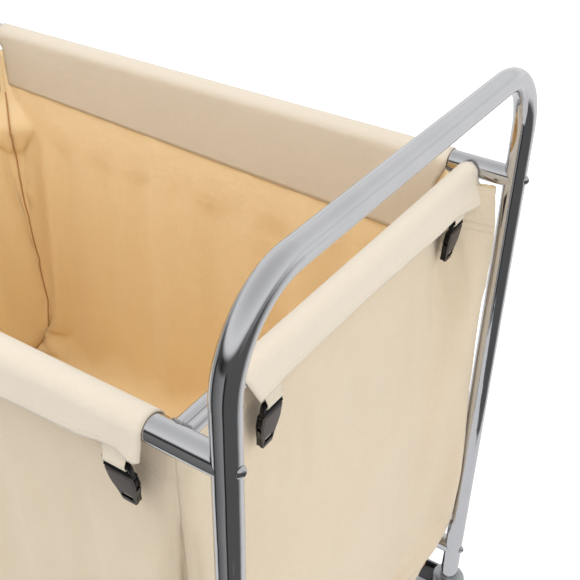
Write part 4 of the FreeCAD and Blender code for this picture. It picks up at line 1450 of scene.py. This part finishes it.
def build_buckles():
    """Ten pull-off sleeves with their tails, one piece of clips and one of tabs."""
    sleeve = sleeve_mesh()
    clip = clip_mesh()
    clips = bmesh.new()
    tabs = []
    for name, place in BUCKLE_FRAMES.items():
        mesh = sleeve.copy()
        mesh.transform(place)
        piece = linked(name + "_sleeve", mesh)
        mesh.name = piece.name
        hand_over(piece, name, "buckle_plastic", name)
        tail = strap_piece(name + "_tail", [tail_strap(place)])
        hand_over(tail, name, "tab_webbing")
        placed = clip.copy()
        placed.transform(place)
        clips.from_mesh(placed)
        tabs.append(tab_strap(place))
    mesh = bpy.data.meshes.new("buckle_clip_halves")
    clips.to_mesh(mesh)
    clips.free()
    mesh.materials.append(BLACK_PLASTIC)
    mesh.set_sharp_from_angle(angle=SHARP_ANGLE)
    hand_over(linked("buckle_clip_halves", mesh), "frame", "buckle_plastic", "buckle_clips")
    hand_over(strap_piece("flap_tab_straps", tabs), "frame", "tab_webbing", "flap_tabs")
    print("buckles", len(BUCKLE_FRAMES), "sleeve faces", len(sleeve.polygons), "clip", len(clip.polygons))


build_buckles()


# %% [markdown]
# ## Finishes for the measured nodes
# The tubes, casters and screws already have their true shape, so they stay as they are and only get a
# finish in their material slots.

# %% Put finishes on the nodes
FINISH_OF_SLOT = {
    "chrome_tube": CHROME,
    "steel_hardware": BRIGHT_STEEL,
    "caster_steel": CASTER_ZINC,
    "wheel_tread": TREAD_RUBBER,
    "wheel_core": CORE_PLASTIC,
    "pedal_plastic": PEDAL_PLASTIC,
    "plug_plastic": BLACK_PLASTIC,
    "socket_plastic": GREY_PLASTIC,
    "canvas": CANVAS,
    "tab_webbing": WEBBING,
    "buckle_plastic": BLACK_PLASTIC,
}


def dress_nodes():
    """Swap each node's plain material for its finish, by the slot it was given."""
    count = 0
    for node in NODES.values():
        for holder in node.material_slots:
            slot_name = holder.material.name.split(".")[0] if holder.material else ""
            for known, finish in FINISH_OF_SLOT.items():
                if slot_name == known or slot_name.endswith(known):
                    holder.material = finish
                    count += 1
    print("slots dressed", count)


dress_nodes()


# %% [markdown]
# ## Studio
# A pale floor, a white surround and soft light. The camera sees the surround as plain white. Polished
# metal needs something to reflect, so in reflections the surround also shows what a studio has: a
# bright ceiling, a darker line where the walls meet the floor, and dark flags beside the camera.

# %% Floor
def studio_floor():
    """A large pale floor that keeps the trolley's shadow and reads white to the camera."""
    size = 6.0
    corners = [(-size, -size, 0), (size, -size, 0), (size, size, 0), (-size, size, 0)]
    floor = mesh_piece("studio_floor", corners, [(0, 1, 2, 3)], smooth=False)
    finish = Finish("studio_floor", Roughness=0.9, Emission_Strength=1.0)
    path = finish.node("ShaderNodeLightPath", {}, {}, "Is Camera Ray")
    shown = path + path.other("Is Glossy Ray") + path.other("Is Transmission Ray")
    grain = finish.cloudy(finish.place(), 0.02, 2.0)
    colour = finish.colour_mix(grain, linear(236, 236, 236), linear(240, 240, 240))
    glow = finish.colour_mix(shown * 0.45, (0, 0, 0, 1), (1, 1, 1, 1))
    floor.data.materials.append(finish.finish(Base_Color=colour, Emission_Color=glow))
    floor.visible_glossy = False


studio_floor()


# %% A white card for the metal
def paper_sweep():
    """A white sheet of paper that only polished metal sees, lying just under the floor."""
    corners = [(-1.6, -0.55, -0.001), (0.9, -0.55, -0.001), (0.9, 1.6, -0.001), (-1.6, 1.6, -0.001)]
    paper = mesh_piece("paper_sweep", corners, [(0, 1, 2, 3)], smooth=False)
    finish = Finish("paper_sweep", Roughness=1.0, Emission_Strength=1.0)
    cloud = finish.cloudy(finish.place(), 0.4, 2.0)
    white = finish.colour_mix(cloud, (0.80, 0.80, 0.81, 1), (0.88, 0.88, 0.89, 1))
    paper.data.materials.append(finish.finish(Base_Color=(0.0, 0.0, 0.0, 1), Emission_Color=white))
    for seen_by in ("camera", "diffuse", "transmission", "volume_scatter", "shadow"):
        setattr(paper, "visible_" + seen_by, False)


paper_sweep()


# %% World
def studio_world():
    """White to the camera; in reflections, a studio with a bright ceiling and dark flags."""
    world = bpy.data.worlds.new("studio")
    bpy.context.scene.world = world
    world.use_nodes = True
    finish = Finish("studio_reflections")
    finish.tree = world.node_tree
    background = world.node_tree.nodes["Background"]
    path = finish.node("ShaderNodeLightPath", {}, {}, "Is Camera Ray")
    glossy = path.other("Is Glossy Ray")
    shown = path + glossy + path.other("Is Transmission Ray")
    direction = finish.node("ShaderNodeTexCoord", {}, {}, "Generated")
    rise = finish.node("ShaderNodeSeparateXYZ", {}, [direction], "Z")
    bearing = rise.maths("ARCTAN2", rise.other("Y"), rise.other("X"))
    turn_share = bearing / (2 * math.pi) + 0.5
    grey = [(v, v, v, 1.0) for v in (0.02, 0.12, 0.15, 0.36, 0.45, 0.66, 0.95)]
    black, dark, low, mid, soft, pale, white = grey
    below_stops = (
        (0.0, soft), (0.07, soft), (0.08, black), (0.10, black), (0.115, low), (0.285, mid), (0.293, black),
        (0.312, black), (0.325, dark), (0.56, dark), (0.64, white), (0.90, pale), (1.0, soft),
    )
    level_stops = (
        (0.0, soft), (0.06, dark), (0.20, black), (0.30, dark), (0.42, dark), (0.55, mid),
        (0.62, white), (0.92, white), (1.0, soft),
    )
    below = finish.node("ShaderNodeValToRGB", {"stops": below_stops}, [turn_share])
    level = finish.node("ShaderNodeValToRGB", {"stops": level_stops}, [turn_share])
    above = finish.node("ShaderNodeValToRGB", {"stops": ((0.0, pale), (0.45, white), (1.0, pale))}, [rise])
    lower = finish.node("ShaderNodeMapRange", {}, {"Value": rise, "From Min": -0.08, "From Max": 0.0})
    upper = finish.node("ShaderNodeMapRange", {}, {"Value": rise, "From Min": 0.16, "From Max": 0.30})
    studio = finish.colour_mix(upper, finish.colour_mix(lower, below, level), above)
    seen = finish.colour_mix(glossy, (1, 1, 1, 1), studio)
    light = finish.colour_mix(shown, (0.98, 0.98, 0.99, 1), seen)
    finish.feed(background.inputs["Color"], light)
    bpy.data.materials.remove(finish.material)


studio_world()


# %% Lamps
def softbox(name, place, aim, size, power):
    """A square area lamp that looks at a point."""
    lamp = bpy.data.lights.new(name, "AREA")
    lamp.shape = "SQUARE"
    lamp.size = size
    lamp.energy = power
    holder = linked(name, lamp)
    facing = (Vector(aim) - Vector(place)).to_track_quat("-Z", "Y")
    holder.matrix_world = Matrix.Translation(place) @ facing.to_matrix().to_4x4()
    holder.visible_glossy = False


softbox("softbox_above", (-0.6, -0.9, 2.6), (0, 0, 0.7), 1.6, 20)
softbox("softbox_right", (2.2, -0.2, 1.6), (0.2, 0, 0.6), 1.2, 14)
print("lamps", [lamp.name for lamp in bpy.data.lights])


# %% [markdown]
# ## Camera
# The camera stands above the front right corner and looks down across the push hoop into the bag.

# %% Camera
CAMERA_PLACE = Vector((0.7378, -0.6613, 1.2838))
CAMERA_RIGHT = Vector((0.83644908, 0.5478135, 0.01591597))
CAMERA_UP = Vector((-0.31998027, 0.46458411, 0.82569621))


def place_camera():
    """A 36 mm wide sensor behind a 58.7 mm lens."""
    data = bpy.data.cameras.new("camera")
    data.lens = 58.715
    data.sensor_width = 36.0
    camera = linked("camera", data)
    axes = Matrix((CAMERA_RIGHT, CAMERA_UP, CAMERA_RIGHT.cross(CAMERA_UP))).transposed()
    camera.matrix_world = Matrix.Translation(CAMERA_PLACE) @ axes.to_4x4()
    bpy.context.scene.camera = camera


place_camera()
print("camera", round((CAMERA_PLACE - Vector((BAR_X, 0, RAIL_Z))).length, 3), "m from the right crossbar")
bpy.context.scene.view_settings.view_transform = "Standard"
